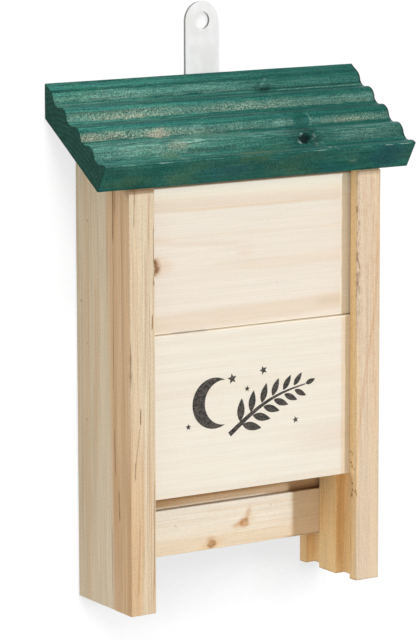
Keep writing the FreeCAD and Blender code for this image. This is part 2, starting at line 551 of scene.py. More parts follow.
@dataclass(frozen=True)
class GrainPattern:
    """Growth rings and fibres of one board.

    Attributes:
        axis: Direction of the grain.
        pith: Place of the tree's centre across the board, in millimetres.
        spacing: Width of one ring.
        wander: How far the rings wander.
        seed: Shifts the noise.
    """

    axis: Grain
    pith: Point
    spacing: float
    wander: float
    seed: float

    def noise(self, sh: Shader, fine: float, slow: float, shift: float = 0.0,
              detail: float = 2, rough: float = 0.5) -> Socket:
        """Noise with fine lumps per millimetre across the grain and slow ones along it."""
        scale = (slow, fine, fine) if self.axis is Grain.X else (fine, fine, slow)
        return sh.noise(scale, (self.seed + shift,) * 3, detail, rough)

    def rings(self, sh: Shader) -> Socket:
        """Late wood, between 0 and 1.

        The ring number is the distance to the pith, moved by a slow noise, over
        the ring width. Late wood rises slowly within each ring and drops at its end.

        Args:
            sh: Material that the nodes go into.

        Returns:
            The socket that carries it.
        """
        slow = sh.math("SUBTRACT", self.noise(sh, 0.03, 0.005), 0.5)
        mid = sh.math("SUBTRACT", self.noise(sh, 0.12, 0.012, 5), 0.5)
        moved = sh.math("MULTIPLY_ADD", slow, self.wander * 2, sh.math("MULTIPLY", mid, self.wander * 0.5))
        flat = (0, 1, 1) if self.axis is Grain.X else (1, 1, 0)
        a, b = -self.pith[0], -self.pith[1]
        reach = sh.vector("LENGTH", sh.here(flat, (0, a, b) if self.axis is Grain.X else (a, b, 0)))
        number = sh.math("DIVIDE", sh.math("ADD", reach.outputs["Value"], moved), self.spacing)
        part = sh.math("FRACT", number)
        return sh.math("MULTIPLY", sh.span(part, 0.35, 0.9), sh.span(part, 1.0, 0.93))

    def fibres(self, sh: Shader, size: float = 0.8) -> Socket:
        """Fine streaks along the grain, between 0 and 1."""
        return self.noise(sh, 1 / size, 0.02, 9, 4, 0.7)

    def streaks(self, sh: Shader, width: float = 3.0) -> Socket:
        """Broad soft stripes along the grain, between 0 and 1."""
        return self.noise(sh, 1 / width, 0.004, 17)


@dataclass(frozen=True)
class BareWood:
    """Planed softwood without a finish.

    Attributes:
        name: Name of the material.
        grain: Rings and fibres.
        early: Colour of early wood.
        late: Colour of late wood.
        tan: Colour where the board is painted as tan, and as a warm tint in some shaded places.
        ruddy: Colour where the board is painted as heart wood, and as a warm tint in some shaded places.
        pale: Colour of the painted light that lifts some shaded places: under the roof, along the seam and
            at the boards' right ends.
        ring_share: How strongly the late wood shows.
        streak_share: How strongly the broad stripes show.
        hair_share: How strongly thin lines of heart wood show.
        fibre_share: How much the fibres darken the wood.
        mottle_share: How much small specks lighten or darken the wood.
    """

    name: str
    grain: GrainPattern
    early: Colour
    late: Colour
    tan: Colour
    ruddy: Colour
    pale: Colour = linear(250, 244, 232)
    ring_share: float = 0.5
    streak_share: float = 0.35
    hair_share: float = 0.15
    fibre_share: float = 0.08
    mottle_share: float = 0.07

    def make(self) -> Material:
        """Build the node tree.

        Returns:
            The material.
        """
        sh, grain = Shader(self.name), self.grain
        late, fibres, streaks = grain.rings(sh), grain.fibres(sh), grain.streaks(sh)
        cloud = grain.noise(sh, 0.05, 0.012, 31)
        cloudy = sh.span(cloud, 0.3, 0.7, 0.2 * self.ring_share, self.ring_share)
        colour = sh.mix(sh.math("MULTIPLY", late, cloudy), self.early, self.late)
        colour = sh.mix(sh.span(streaks, 0.35, 0.75, 0.0, self.streak_share), colour, self.late)
        # pale lays painted light; tan and ruddy also lay painted warm shade where the pieces paint them into
        # shaded places.
        for name, tint in (("tan", self.tan), ("ruddy", self.ruddy), ("pale", self.pale)):
            colour = sh.mix(sh.painted(name), colour, tint)
        hair = grain.noise(sh, 0.85, 0.007, 43, rough=0.6)
        colour = sh.mix(sh.span(hair, 0.595, 0.66, 0.0, self.hair_share), colour, self.ruddy)
        mottle = sh.noise((0.9, 0.9, 0.9), (2.7, 0, 0), 2, 0.6)
        fibrous = sh.span(fibres, 0.36, 0.64, 1 - self.fibre_share, 1 + 0.6 * self.fibre_share)
        mottled = sh.span(mottle, 0.3, 0.7, 1 - self.mottle_share, 1 + 0.9 * self.mottle_share)
        colour = sh.vector("MULTIPLY", colour, sh.math("MULTIPLY", fibrous, mottled)).outputs[0]
        # Dark marks, and painted shade lines and patches.
        colour = sh.mix(sh.painted("mark_and_shade"), colour, linear(118, 76, 32))
        end = sh.facing(0 if grain.axis is Grain.X else 2)
        colour = sh.over(colour, (172, 132, 88), end, 0.6, 0.95, 0.35)
        rough = sh.span(fibres, 0.2, 0.8, 0.52, 0.68)
        height = sh.math("ADD", sh.math("MULTIPLY", fibres, 0.6), sh.math("MULTIPLY", late, 0.25))
        return sh.surface(colour, rough, sh.bump(height, 0.09, 0.7), specular=0.25)


@dataclass(frozen=True)
class StainedWood:
    """Softwood under a thin green stain that the torn grain of the flutes takes badly."""

    name: str
    grain: GrainPattern

    def make(self) -> Material:
        """Build the node tree.

        Returns:
            The material.
        """
        sh = Shader(self.name)
        late, fibres = self.grain.rings(sh), self.grain.fibres(sh, 0.6)
        hair = sh.noise((0.07, 1.1, 1.1), (5.3, 0, 0), 2, 0.6)
        speck = sh.noise((1.3, 1.7, 1.7), (1.7, 0, 0), 3, 0.85)
        colour = self.rubbed(sh, self.stain(sh, late, hair), hair, speck)
        # Painted glints, then dark marks along with the painted shade at the top's right end.
        for name, tint in (("glint", (196, 222, 212)), ("mark_and_shade", (6, 30, 27))):
            colour = sh.mix(sh.painted(name), colour, linear(*tint))
        colour = sh.mix(sh.span(sh.facing(0), 0.5, 0.9), colour, self.end_grain(sh, late))
        grit = sh.noise((0.9, 1.2, 1.2), (7.7, 0, 0), 3, 0.8)
        colour = sh.vector("MULTIPLY", colour, sh.span(grit, 0.38, 0.62, 0.66, 1.36)).outputs[0]
        torn = sh.math("MULTIPLY", speck, sh.painted("worn"))
        height = sh.math("MULTIPLY_ADD", torn, 1.4, sh.math("MULTIPLY", fibres, 0.7))
        rough = sh.span(fibres, 0.2, 0.8, 0.46, 0.66)
        return sh.surface(colour, rough, sh.bump(height, 0.14, 0.8), specular=0.08)

    def stain(self, sh: Shader, late: Socket, hair: Socket) -> Socket:
        """Stain that has soaked in unevenly, along the grain and in blotches.

        Args:
            sh: Material that the nodes go into.
            late: Late wood.
            hair: Thin lines along the grain.

        Returns:
            Its colour.
        """
        streaks = self.grain.streaks(sh, 2.2)
        colour = sh.mix(sh.span(streaks, 0.36, 0.64), linear(19, 85, 77), linear(58, 134, 122))
        colour = sh.mix(sh.math("MULTIPLY", late, 0.15), colour, linear(22, 78, 70))
        blotch = sh.noise((0.05, 0.06, 0.06), (3.1, 0, 0))
        thread = sh.noise((0.022, 0.75, 0.75), (2.9, 0, 0), 3, 0.6)
        mottle = sh.noise((1.0, 1.2, 1.2), (4.4, 0, 0), 2, 0.8)
        dark, light = (14, 66, 60), (104, 170, 152)
        for tint, value, low, high, most in (
                ((24, 84, 92), blotch, 0.52, 0.72, 0.4), ((36, 118, 92), blotch, 0.46, 0.30, 0.4),
                (dark, thread, 0.56, 0.68, 0.5), ((88, 158, 138), thread, 0.43, 0.32, 0.45),
                (light, hair, 0.57, 0.69, 0.50), (dark, hair, 0.43, 0.31, 0.45),
                (dark, mottle, 0.44, 0.32, 0.55), (light, mottle, 0.56, 0.68, 0.45)):
            colour = sh.over(colour, tint, value, low, high, most)
        for name, tint in (("olive", (84, 112, 80)), ("deep", (12, 82, 73)), ("blue", (30, 84, 92))):
            colour = sh.mix(sh.painted(name), colour, linear(*tint))
        return colour

    @staticmethod
    def rubbed(sh: Shader, colour: Socket, hair: Socket, speck: Socket) -> Socket:
        """Lay the rubbed, worn and bare places over the stain; the mint haze also carries painted light in
        the troughs.

        Args:
            sh: Material that the nodes go into.
            colour: The stain.
            hair: Thin lines along the grain.
            speck: Small specks.

        Returns:
            The colour with them on it.
        """
        worn = sh.painted("worn")
        heavy = sh.math("POWER", worn, 2.0, clamp=True)
        salt = sh.noise((0.8, 1.0, 1.0), (9.9, 0, 0), 1)
        # The mint haze holds rubbed stain and the painted light on the troughs' lower sides.
        haze = sh.math("MULTIPLY", sh.painted("mint"), sh.span(hair, 0.42, 0.58, 0.15, 1.0), clamp=True)
        for tint, value, low, high, most, least, mask in (
                ((28, 80, 68), speck, 0.46, 0.34, 0.6, 0.0, worn),
                ((152, 200, 184), speck, 0.38, 0.60, 1.0, 0.5, haze),
                ((140, 168, 150), speck, 0.44, 0.56, 1.15, 0.0, worn),
                ((194, 206, 186), salt, 0.56, 0.68, 0.7, 0.0, heavy),
                ((26, 80, 70), salt, 0.43, 0.34, 0.8, 0.0, heavy),
                ((212, 194, 172), speck, 0.42, 0.58, 1.0, 0.25, sh.painted("bare"))):
            colour = sh.over(colour, tint, value, low, high, most, least, mask)
        return colour

    @staticmethod
    def end_grain(sh: Shader, late: Socket) -> Socket:
        """Dark stain that the open pores of the sawn ends have drunk.

        Args:
            sh: Material that the nodes go into.
            late: Late wood.

        Returns:
            Its colour.
        """
        pores = sh.noise((0.4, 1.1, 1.1), rough=0.7)
        patchy = sh.noise((0.1, 0.12, 0.12), (6.1, 0, 0), 2)
        colour = sh.mix(sh.span(pores, 0.38, 0.66), linear(6, 49, 42), linear(28, 82, 71))
        colour = sh.mix(sh.math("MULTIPLY", late, 0.35), colour, linear(42, 102, 88))
        return sh.over(colour, (4, 54, 41), patchy, 0.45, 0.65, 0.5)


@dataclass(frozen=True)
class WhitePaint:
    """Thin white paint on a stamped steel strap, darker grey on its edges."""

    name: str

    def make(self) -> Material:
        """Build the node tree.

        Returns:
            The material.
        """
        sh = Shader(self.name)
        cloud = sh.noise((0.12, 0.12, 0.08), detail=4)
        face = sh.mix(sh.span(cloud, 0.35, 0.7), linear(232, 231, 229), linear(240, 240, 240))
        grit = sh.noise((2.0, 2.0, 2.0))
        edge = sh.mix(sh.span(grit, 0.3, 0.7), linear(120, 120, 122), linear(168, 168, 168))
        colour = sh.mix(sh.span(sh.facing(1), 0.35, 0.85), edge, face)
        peel = sh.noise((0.9, 0.9, 0.9), detail=2)
        return sh.surface(colour, sh.span(cloud, 0.3, 0.7, 0.34, 0.46), sh.bump(peel, 0.05, 0.5))


@dataclass(frozen=True)
class BareSteel:
    """Plated or bright steel, with fine turning or drawing marks.

    Attributes:
        name: Name of the material.
        light, dark: Colours between which it varies.
        rough: Roughness.
        stretch: Noise scale along X, Y and Z, which lays the marks.
    """

    name: str
    light: Colour
    dark: Colour
    rough: float
    stretch: tuple[float, float, float]

    def make(self) -> Material:
        """Build the node tree.

        Returns:
            The material.
        """
        sh = Shader(self.name)
        marks = sh.noise(self.stretch, detail=4, rough=0.6)
        cloud = sh.noise((0.6, 0.6, 0.6), detail=2)
        colour = sh.mix(sh.span(cloud, 0.3, 0.7), self.dark, self.light)
        rough = sh.span(marks, 0.2, 0.8, self.rough - 0.08, self.rough + 0.1)
        return sh.surface(colour, rough, sh.bump(marks, 0.03, 0.6), metallic=1.0)


@dataclass(frozen=True)
class BlackInk:
    """Screen-printed black ink that lets the wood's fibres show through in specks."""

    name: str

    def make(self) -> Material:
        """Build the node tree.

        Returns:
            The material.
        """
        sh = Shader(self.name)
        speck = sh.noise((0.7, 1.0, 1.0), rough=0.7)
        fine = sh.noise((0.3, 1.8, 1.8), (4.0, 0, 0), 2)
        colour = sh.mix(sh.span(speck, 0.38, 0.62), linear(22, 18, 12), linear(82, 76, 68))
        colour = sh.over(colour, (122, 112, 98), fine, 0.56, 0.70, 0.5)
        rough = sh.span(speck, 0.3, 0.7, 0.55, 0.75)
        return sh.surface(colour, rough, sh.bump(speck, 0.04, 0.5), specular=0.3)


# Pieces


def dress(piece: Piece, material: Material, slot: str, *nodes: str) -> Piece:
    """Give a new piece its material and its body, and hide the CAD nodes that it stands for.

    Args:
        piece: The finished piece.
        material: Its material.
        slot: The record's material slot; not used.
        nodes: CAD nodes that the piece replaces.

    Returns:
        The same piece.
    """
    piece.data.materials.append(material)
    if nodes:
        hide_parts(*nodes)
    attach(piece, BODY)
    LOG.info("%s: %d vertices", piece.name, len(piece.data.vertices))
    return piece


@dataclass(frozen=True)
class Stripe:
    """Straight stripe of colour along the grain.

    Attributes:
        kind: Painted value that it raises.
        amount: Its strength.
        low: Lower edge across the grain, in millimetres.
        high: Upper edge.
        soft_low: How far it fades below the lower edge.
        soft_high: How far it fades above the upper edge.
        fade: Places along the grain where it starts and where it is full, or None.
        lean: How far it falls across the grain over a millimetre along it.
    """

    kind: str
    amount: float
    low: float
    high: float
    soft_low: float
    soft_high: float
    fade: Point | None = None
    lean: float = 0.0

    def paint(self, skin: Skin, across: Array, along: Array, mask: Array | float = 1.0) -> None:
        """Raise the painted value.

        Args:
            skin: The surface.
            across: Place of each vertex across the grain.
            along: Place along it.
            mask: Where the face is.
        """
        share = band(across + self.lean * along, self.low, self.high, self.soft_low, self.soft_high)
        if self.fade is not None:
            share = share * smooth(*self.fade, along)
        skin.add(self.kind, mask * self.amount * share)


@dataclass(frozen=True)
class Streak:
    """Narrow streak that runs up a face, leaning from one place to another.

    Its middle runs straight between the two, but for a slight wander, and it
    fades out over the last fifth of its height at both ends.

    Attributes:
        start: Lower end, across and up.
        end: Upper end.
        half: Half its width.
        amount: Its strength.
        kind: Painted value that it raises.
    """

    start: Point
    end: Point
    half: float
    amount: float
    kind: str = "mark_and_shade"

    def paint(self, skin: Skin, axis: int, mask: Array) -> None:
        """Raise the painted value.

        Args:
            skin: The surface.
            axis: 0 if the places across are along X, 1 if they are along Y.
            mask: Where the face is.
        """
        across, z = skin.points[:, axis], skin.points[:, 2]
        share = (z - self.start[1]) / (self.end[1] - self.start[1])
        middle = self.start[0] + (self.end[0] - self.start[0]) * np.clip(share, 0, 1)
        off = np.abs(across - middle + 0.25 * noise(skin.points, (30, 30, 18), 7, 2))
        line = band(share, 0.2, 0.8, 0.2, 0.2) * (1 - smooth(self.half * 0.4, self.half * 1.6, off))
        skin.add(self.kind, mask * self.amount * line)


class Side(Enum):
    """Left or right, as the sign of X."""

    LEFT = -1
    RIGHT = 1


@dataclass
class SideBoard:
    """One upright side with two grooves down its inner face.

    Attributes:
        side: Which of the two it is.
        groove_width: Width of a groove.
        groove_depth: Depth of a groove.
        lip: Width of the lips before and behind the grooves.
        edge_radius: Radius of the arrises.
        groove_radius: Radius of the grooves' corners.
        end_radius: Radius of the ease at the ends.
        steps: Fine, middling and coarse spacing of the vertices round the board.
        rings: Number of rings of vertices up the board.
    """

    side: Side
    groove_width: float = 15.0
    groove_depth: float = 7.0
    lip: float = 7.5
    edge_radius: float = 0.7
    groove_radius: float = 0.4
    end_radius: float = 0.3
    steps: tuple[float, float, float] = (0.4, 0.65, 1.4)
    rings: int = 235

    @property
    def node(self) -> str:
        """Name of the CAD node."""
        return "side_left" if self.side is Side.LEFT else "side_right"

    def outline(self) -> tuple[Array, float, float]:
        """Work out the outline across the board.

        Returns:
            The outline, the board's depth and its height at the back.
        """
        low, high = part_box(self.node)
        inner, outer = sorted((abs(low.x) / MM, abs(high.x) / MM))
        depth = (high.y - low.y) / MM
        floor = inner + self.groove_depth
        a, b = self.lip, self.lip + self.groove_width
        c, d = depth - self.lip - self.groove_width, depth - self.lip
        corners = [(outer, 0), (outer, depth), (inner, depth), (inner, d), (floor, d), (floor, c),
                   (inner, c), (inner, b), (floor, b), (floor, a), (inner, a), (inner, 0)]
        radii = [self.edge_radius] * 3 + [self.groove_radius] * 8 + [self.edge_radius]
        fine, middling, coarse = self.steps
        steps = [middling] + [coarse] * 5 + [middling, coarse] + [middling] * 3 + [fine]
        if self.side is Side.LEFT:
            corners = [(-x, y) for x, y in corners][::-1]
            radii = radii[::-1]
            steps = steps[-2::-1] + steps[-1:]
        return eased_outline(corners, radii, steps), depth, high.z / MM

    def build(self) -> Piece:
        """Carry the outline up to the roof's sloping underside.

        Returns:
            The piece.
        """
        outline, depth, height = self.outline()

        def place(x: Array, y: Array, t: Array) -> Array:
            """Height runs from 0 to the roof's underside above each point."""
            return np.stack([x, y, t * (height - (depth - y) * ROOF_SLOPE)], axis=1)

        left = self.side is Side.LEFT
        work, wood = (self.work_left, LEFT_SIDE_WOOD) if left else (self.work_right, RIGHT_SIDE_WOOD)
        loft = Loft(outline, np.linspace(0, 1, self.rings), place, height, self.end_radius)
        piece = loft.build("side_board_" + self.side.name.lower(), work)
        return dress(piece, wood.make(), "natural_wood", self.node)

    @staticmethod
    def wear(skin: Skin, seed: int) -> None:
        """Worn arrises, slow waves and slight rippling from the planer.

        Args:
            skin: The surface.
            seed: Picks the noise.
        """
        p = skin.points
        skin.add("pale", np.zeros(len(p)))
        corner = 1 - np.abs(skin.normals).max(axis=1)
        skin.sink(smooth(0.05, 0.3, corner) * (0.10 + 0.18 * noise(p, (6, 6, 14), seed)))
        skin.sink(0.05 + 0.05 * noise(p, (9, 9, 60), seed + 1))
        skin.sink(0.025 + 0.025 * noise(p, (1.2, 1.2, 20), seed + 2, 2))

    def work_left(self, skin: Skin) -> None:
        """Heart wood streaks on the outer face, the split front corner, a few marks and painted shade under
        the roof.

        Args:
            skin: The surface.
        """
        p, n = skin.points, skin.normals
        x, y, z = p.T
        self.wear(skin, 11)
        outer, front = smooth(-0.5, -0.8, n[:, 0]), smooth(-0.5, -0.8, n[:, 1])
        wave = 1.4 * noise(p, (40, 40, 90), 21, 2)
        edge = y + wave
        heart = outer * (1 - smooth(-3.5, 2.5, edge - (22.0 + 5.5 * smooth(40, 250, z))))
        skin.add("tan", 0.85 * heart * (0.9 + 0.2 * noise(p, (6, 3, 60), 24, 2)))
        broken = 0.6 + 0.4 * noise(p, (9, 9, 70), 22)
        skin.add("ruddy", outer * 0.35 * band(edge, 17.0, 20.0, 2.5, 1.2) * broken)
        skin.add("tan", outer * 0.40 * band(edge, 38.5, 41, 1.5, 1.5) * band(z, 130, 190, 70, 25))
        skin.add("tan", front * (0.20 + 0.16 * noise(p, (3.5, 5, 90), 25, 2)))
        for stripe in LEFT_OUTER_STRIPES:
            stripe.paint(skin, edge, z, outer)
        for stripe in LEFT_FRONT_STRIPES:
            stripe.paint(skin, x + wave, z, front)
        # Painted shade on the outer face under the roof's corner, and a painted shadow line on the front
        # face just under the roof.
        under = (z.max() - (y.max() - y) * ROOF_SLOPE) - z
        skin.add("mark_and_shade", outer * 0.60 * smooth(7, 0, under) * band(y, 1, 17, 2, 6))
        skin.add("mark_and_shade", front * 0.7 * smooth(UNDER_ROOF - 0.4, UNDER_ROOF + 0.6, z))
        for streak in LEFT_OUTER_STREAKS:
            streak.paint(skin, 1, outer)
        for streak in LEFT_FRONT_STREAKS:
            streak.paint(skin, 0, front)
        for at, size in LEFT_OUTER_SPECKS:
            skin.add("mark_and_shade", 0.6 * outer * spot(y, z, at, size, 0.35))
        self.crack(skin, (-91.6, 0.2), 156, 15, 0.9)
        self.crack(skin, (-74.0, 0.3), 226, 14, 0.5)
        self.crack(skin, (-74.0, 0.3), 209, 3, 0.7)

    def work_right(self, skin: Skin) -> None:
        """Wavy rings on the front face, warm inner faces with a painted lift of their shade, the chipped
        front lip and a painted shadow line under the roof.

        Args:
            skin: The surface.
        """
        p, n = skin.points, skin.normals
        x, y, z = p.T
        self.wear(skin, 31)
        front = smooth(-0.5, -0.8, n[:, 1])
        grooved = smooth(81.6, 80.8, x) * smooth(4, 9, y)
        lip = (1 - grooved) * smooth(76, 74.5, x) * (1 - front)
        inner_streak = smooth(0.1, 0.7, noise(p, (2.2, 2.2, 60), 47, 2))
        land = band(x, 75.5, 78.5, 1.0, 1.0) * smooth(23.6, 22.8, y) * band(z, 12, 58, 8, 14)
        # The tan on the grooves, lands and the lip's inner face is partly the wood's colour and partly a
        # painted warm lift of the shade inside the leg.
        skin.add("tan", grooved * (0.8 + 0.2 * noise(p, (12, 6, 40), 41)))
        skin.add("ruddy", grooved * (0.10 * band(z, 40, 90, 22, 5) + 0.10 * inner_streak))
        skin.add("ruddy", grooved * 0.12 * land)
        skin.add("tan", lip * 0.62 * smooth(0.3, 1.6, y))
        skin.add("tan", front * 0.5 * band(x, 73, 75.2, 1, 1.6) * band(z, 60, 130, 20, 40))
        sweep = 74.0 + 15.0 * smooth(60, 215, z) + 1.2 * noise(p, (30, 30, 40), 42, 2)
        skin.add("ruddy", front * 0.28 * band(x - sweep, -0.3, 0.3, 0.6, 2.4) * band(z, 70, 215, 15, 30))
        skin.add("tan", front * 0.14 * band(x, 86.5, 89, 2.5, 2) * (0.7 + 0.3 * noise(p, (8, 8, 60), 43)))
        skin.add("mark_and_shade", front * 0.035)
        dots = smooth(0.0, 0.6, noise(p, (1.2, 3, 3.2), 44, 2))
        torn = smooth(2.2, 1.0, np.hypot(x - 74.6 - 0.5 * noise(p, (9, 9, 25), 45, 2), y))
        skin.add("mark_and_shade", 0.55 * dots * torn * smooth(150, 190, z))
        skin.sink(0.3 * dots * torn * smooth(60, 150, z))
        hatch = noise(p @ np.array([[1, 0, 0.35], [0, 1, 0], [0, 0, 1]]), (0.9, 3, 5.5), 46, 2)
        skin.add("ruddy", front * 0.16 * smooth(0.0, 0.8, hatch) * smooth(60, 110, z))
        Streak((76.4, 200), (74.6, 208), 0.3, 0.9).paint(skin, 0, front)
        skin.add("mark_and_shade", 0.3 * smooth(0.9, 0.2, z))
        # Painted shadow line just under the roof.
        skin.add("mark_and_shade", front * 0.35 * smooth(UNDER_ROOF - 0.4, UNDER_ROOF + 0.6, z))
        self.chips(skin)

    @staticmethod
    def crack(skin: Skin, at: Point, z0: float, half: float, depth: float) -> None:
        """Open a narrow split along an arris, deepest at its middle.

        Args:
            skin: The surface.
            at: Place of the arris in X and Y.
            z0: Height of the split's middle.
            half: Half its height.
            depth: Depth at its middle.
        """
        x, y, z = skin.points.T
        near = np.hypot(x - at[0], y - at[1])
        ragged = 1 + 0.5 * noise(skin.points, (2, 2, 5), 3, 2)
        gap = (1 - smooth(0.3, 0.9, near * ragged)) * np.clip(1 - ((z - z0) / half) ** 2, 0, 1)
        skin.sink(gap * depth)
        skin.add("mark_and_shade", gap * 0.8)

    @staticmethod
    def chips(skin: Skin) -> None:
        """Torn chips on the front lip's inner face, where the groove cutter broke out the grain.

        Args:
            skin: The surface.
        """
        x, y, z = skin.points.T
        lip = smooth(75.6, 74.6, x) * smooth(9.0, 7.0, y)
        low = smooth(72, 66, z) * lip
        skin.sink(low * 0.9 * (0.75 + 0.35 * noise(skin.points, (3, 3, 9), 51, 2)))
        torn = 0.45 * noise(skin.points, (1.5, 1.2, 1.6), 52, 2)
        for at, radii, amount in LIP_CHIPS:
            dent = lip * spot(y, z, at, radii, 0.35, 1.0, torn)
            skin.sink(dent * 0.8 * amount)
            skin.add("mark_and_shade", dent * amount)


@dataclass
class Board:
    """A board that lies across the box with its ends in the grooves.

    Attributes:
        node: CAD node that it stands for.
        wood: Its material.
        work: Function that paints and sinks its surface.
        bevelled: True if its top edge is cut to the roof's pitch.
        drop: How much of the gap below it the sawn lower arris closes.
        edge_radius: Radius of its arrises.
        end_radius: Radius of the ease at its ends.
        step: Spacing of the vertices.
    """

    node: str
    wood: BareWood
    work: Work
    bevelled: bool = False
    drop: float = 0.0
    edge_radius: float = 0.45
    end_radius: float = 0.4
    step: float = 1.2

    def build(self) -> Piece:
        """Carry the board's section from its left end to its right end.

        Returns:
            The piece.
        """
        low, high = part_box(self.node)
        y0, y1 = low.y / MM - FRONT_Y, high.y / MM - FRONT_Y
        z0, z1 = low.z / MM - self.drop, high.z / MM
        fall = (y1 - y0) * ROOF_SLOPE if self.bevelled else 0.0
        corners = [(y0, z0), (y1, z0), (y1, z1), (y0, z1 - fall)]
        outline = eased_outline(corners, [self.edge_radius] * 4, [self.step] * 4)
        left, length = low.x / MM, (high.x - low.x) / MM

        def place(y: Array, z: Array, t: Array) -> Array:
            """Along X from the left end."""
            return np.stack([left + t * length, y, z], axis=1)

        stations = np.linspace(0, 1, int(length / self.step))
        loft = Loft(outline, stations, place, length, self.end_radius)
        piece = loft.build(self.node + "_piece", self.finish)
        return dress(piece, self.wood.make(), "pale_wood", self.node)

    def finish(self, skin: Skin) -> None:
        """Ease the arrises unevenly, ripple the faces, then do the board's own work.

        Args:
            skin: The surface.
        """
        p = skin.points
        corner = 1 - np.abs(skin.normals).max(axis=1)
        skin.sink(smooth(0.05, 0.3, corner) * (0.08 + 0.14 * noise(p, (14, 6, 6), 61)))
        skin.sink(0.04 + 0.04 * noise(p, (60, 9, 9), 62))
        skin.sink(0.02 + 0.02 * noise(p, (20, 1.2, 1.2), 63, 2))
        for name in ("tan", "ruddy", "pale", "mark_and_shade"):
            skin.add(name, np.zeros(len(p)))
        self.work(skin)


def knot(skin: Skin, at: Point, radii: Point, lean: float, amount: float, hollow: float,
         core: float = 0.45) -> None:
    """Paint a knot on a board that faces the front.

    Inside an ellipse the colour darkens in rings towards the rim, and around
    it a tan halo runs out along the grain.

    Args:
        skin: The surface.
        at: Centre in X and Z.
        radii: Half width and half height.
        lean: Turn of the ellipse in degrees.
        amount: Strength of the brown.
        hollow: Depth of the hollow in millimetres.
        core: How dark its middle is.
    """
    x, _, z = skin.points.T
    c, s = math.cos(math.radians(lean)), math.sin(math.radians(lean))
    u, v = (x - at[0]) * c + (z - at[1]) * s, (z - at[1]) * c - (x - at[0]) * s
    d = np.hypot(u / radii[0], v / radii[1]) + 0.22 * noise(skin.points, (2.5, 2.5, 2.0), 71, 2)
    inside = 1 - smooth(0.85, 1.05, d)
    rings = core * (1 + 0.45 * np.cos(d * 11)) + 0.5 * band(d, 0.78, 0.92, 0.1, 0.1)
    skin.add("mark_and_shade", inside * amount * rings)
    skin.add("ruddy", (1 - smooth(0.95, 1.6, d)) * 0.6)
    skin.add("tan", 0.5 * spot(u, v, (0, 0), (radii[0] * 5, radii[1] * 2)))
    skin.sink(inside * hollow * (0.6 + 0.4 * np.cos(d * 6)))


def bright_seam(x: Array) -> Array:
    """Where painted light lifts the shade along the seam between the front boards: all but a run left of its
    middle.
    """
    return 1 - band(x, -54, -34, 4, 4)


def work_upper_front(skin: Skin) -> None:
    """Tan bands of the upper front board, the knot by its left groove, and painted light and shade under the
    roof, at the right end and along the seam.

    Args:
        skin: The surface.
    """
    x, _, z = skin.points.T
    h = z + 0.9 * noise(skin.points, (70, 20, 30), 81, 2)
    # Painted light that lifts the roof's shade off the top strip, then a painted shadow line just under the
    # roof's edge.
    skin.add("pale", 0.45 * smooth(249, 255, z + 0.02 * x))
    skin.add("mark_and_shade", 0.85 * smooth(UNDER_ROOF, UNDER_ROOF + 0.9, z))
    for stripe in UPPER_FRONT_STRIPES:
        stripe.paint(skin, h, x)
    skin.add("tan", 0.30 * spot(x, z, (-3, 216.5), (9, 3), 0.2, 1.1))
    skin.add("ruddy", 0.16 * spot(x, z, (60, 181), (16, 5), 0.2))
    # Painted warm shade and painted light at the right end, where the lip's shadow falls.
    skin.add("tan", 0.5 * smooth(67.8, 69.5, x) + 0.4 * smooth(70.0, 73.0, x))
    skin.add("pale", 0.9 * smooth(67.8, 69.5, x))
    skin.add("ruddy", 0.3 * smooth(68.5, 71.0, x) * band(z, 179, 192, 4, 4))
    # Painted light that lifts the shade along the seam.
    skin.add("pale", 0.75 * bright_seam(x) * smooth(1.6, 0.5, z - z.min()))
    knot(skin, (-68.8, 212.8), (3.9, 4.4), 0, 1.0, 0.35, 0.6)
    for at in ((-38.5, 241.7), (-53.2, 203.2), (21.5, 195)):
        skin.add("mark_and_shade", 0.3 * spot(x, z, at, (0.9, 0.6)))


def work_lower_front(skin: Skin) -> None:
    """Faint bands of the lower front board, with painted warm shade and light at its right end and painted
    light along the seam.

    Args:
        skin: The surface.
    """
    x, _, z = skin.points.T
    h = z + 0.8 * noise(skin.points, (70, 20, 30), 91, 2)
    for stripe in LOWER_FRONT_STRIPES:
        stripe.paint(skin, h, x)
    # Painted warm shade and painted light at the right end, where the lip's shadow falls.
    skin.add("tan", 0.9 * smooth(67.0, 69.0, x))
    skin.add("pale", 0.35 * smooth(69.0, 70.5, x))
    # Painted light that lifts the shade along the seam.
    skin.add("pale", 0.8 * bright_seam(x) * smooth(0.8, 0.4, z.max() - z))


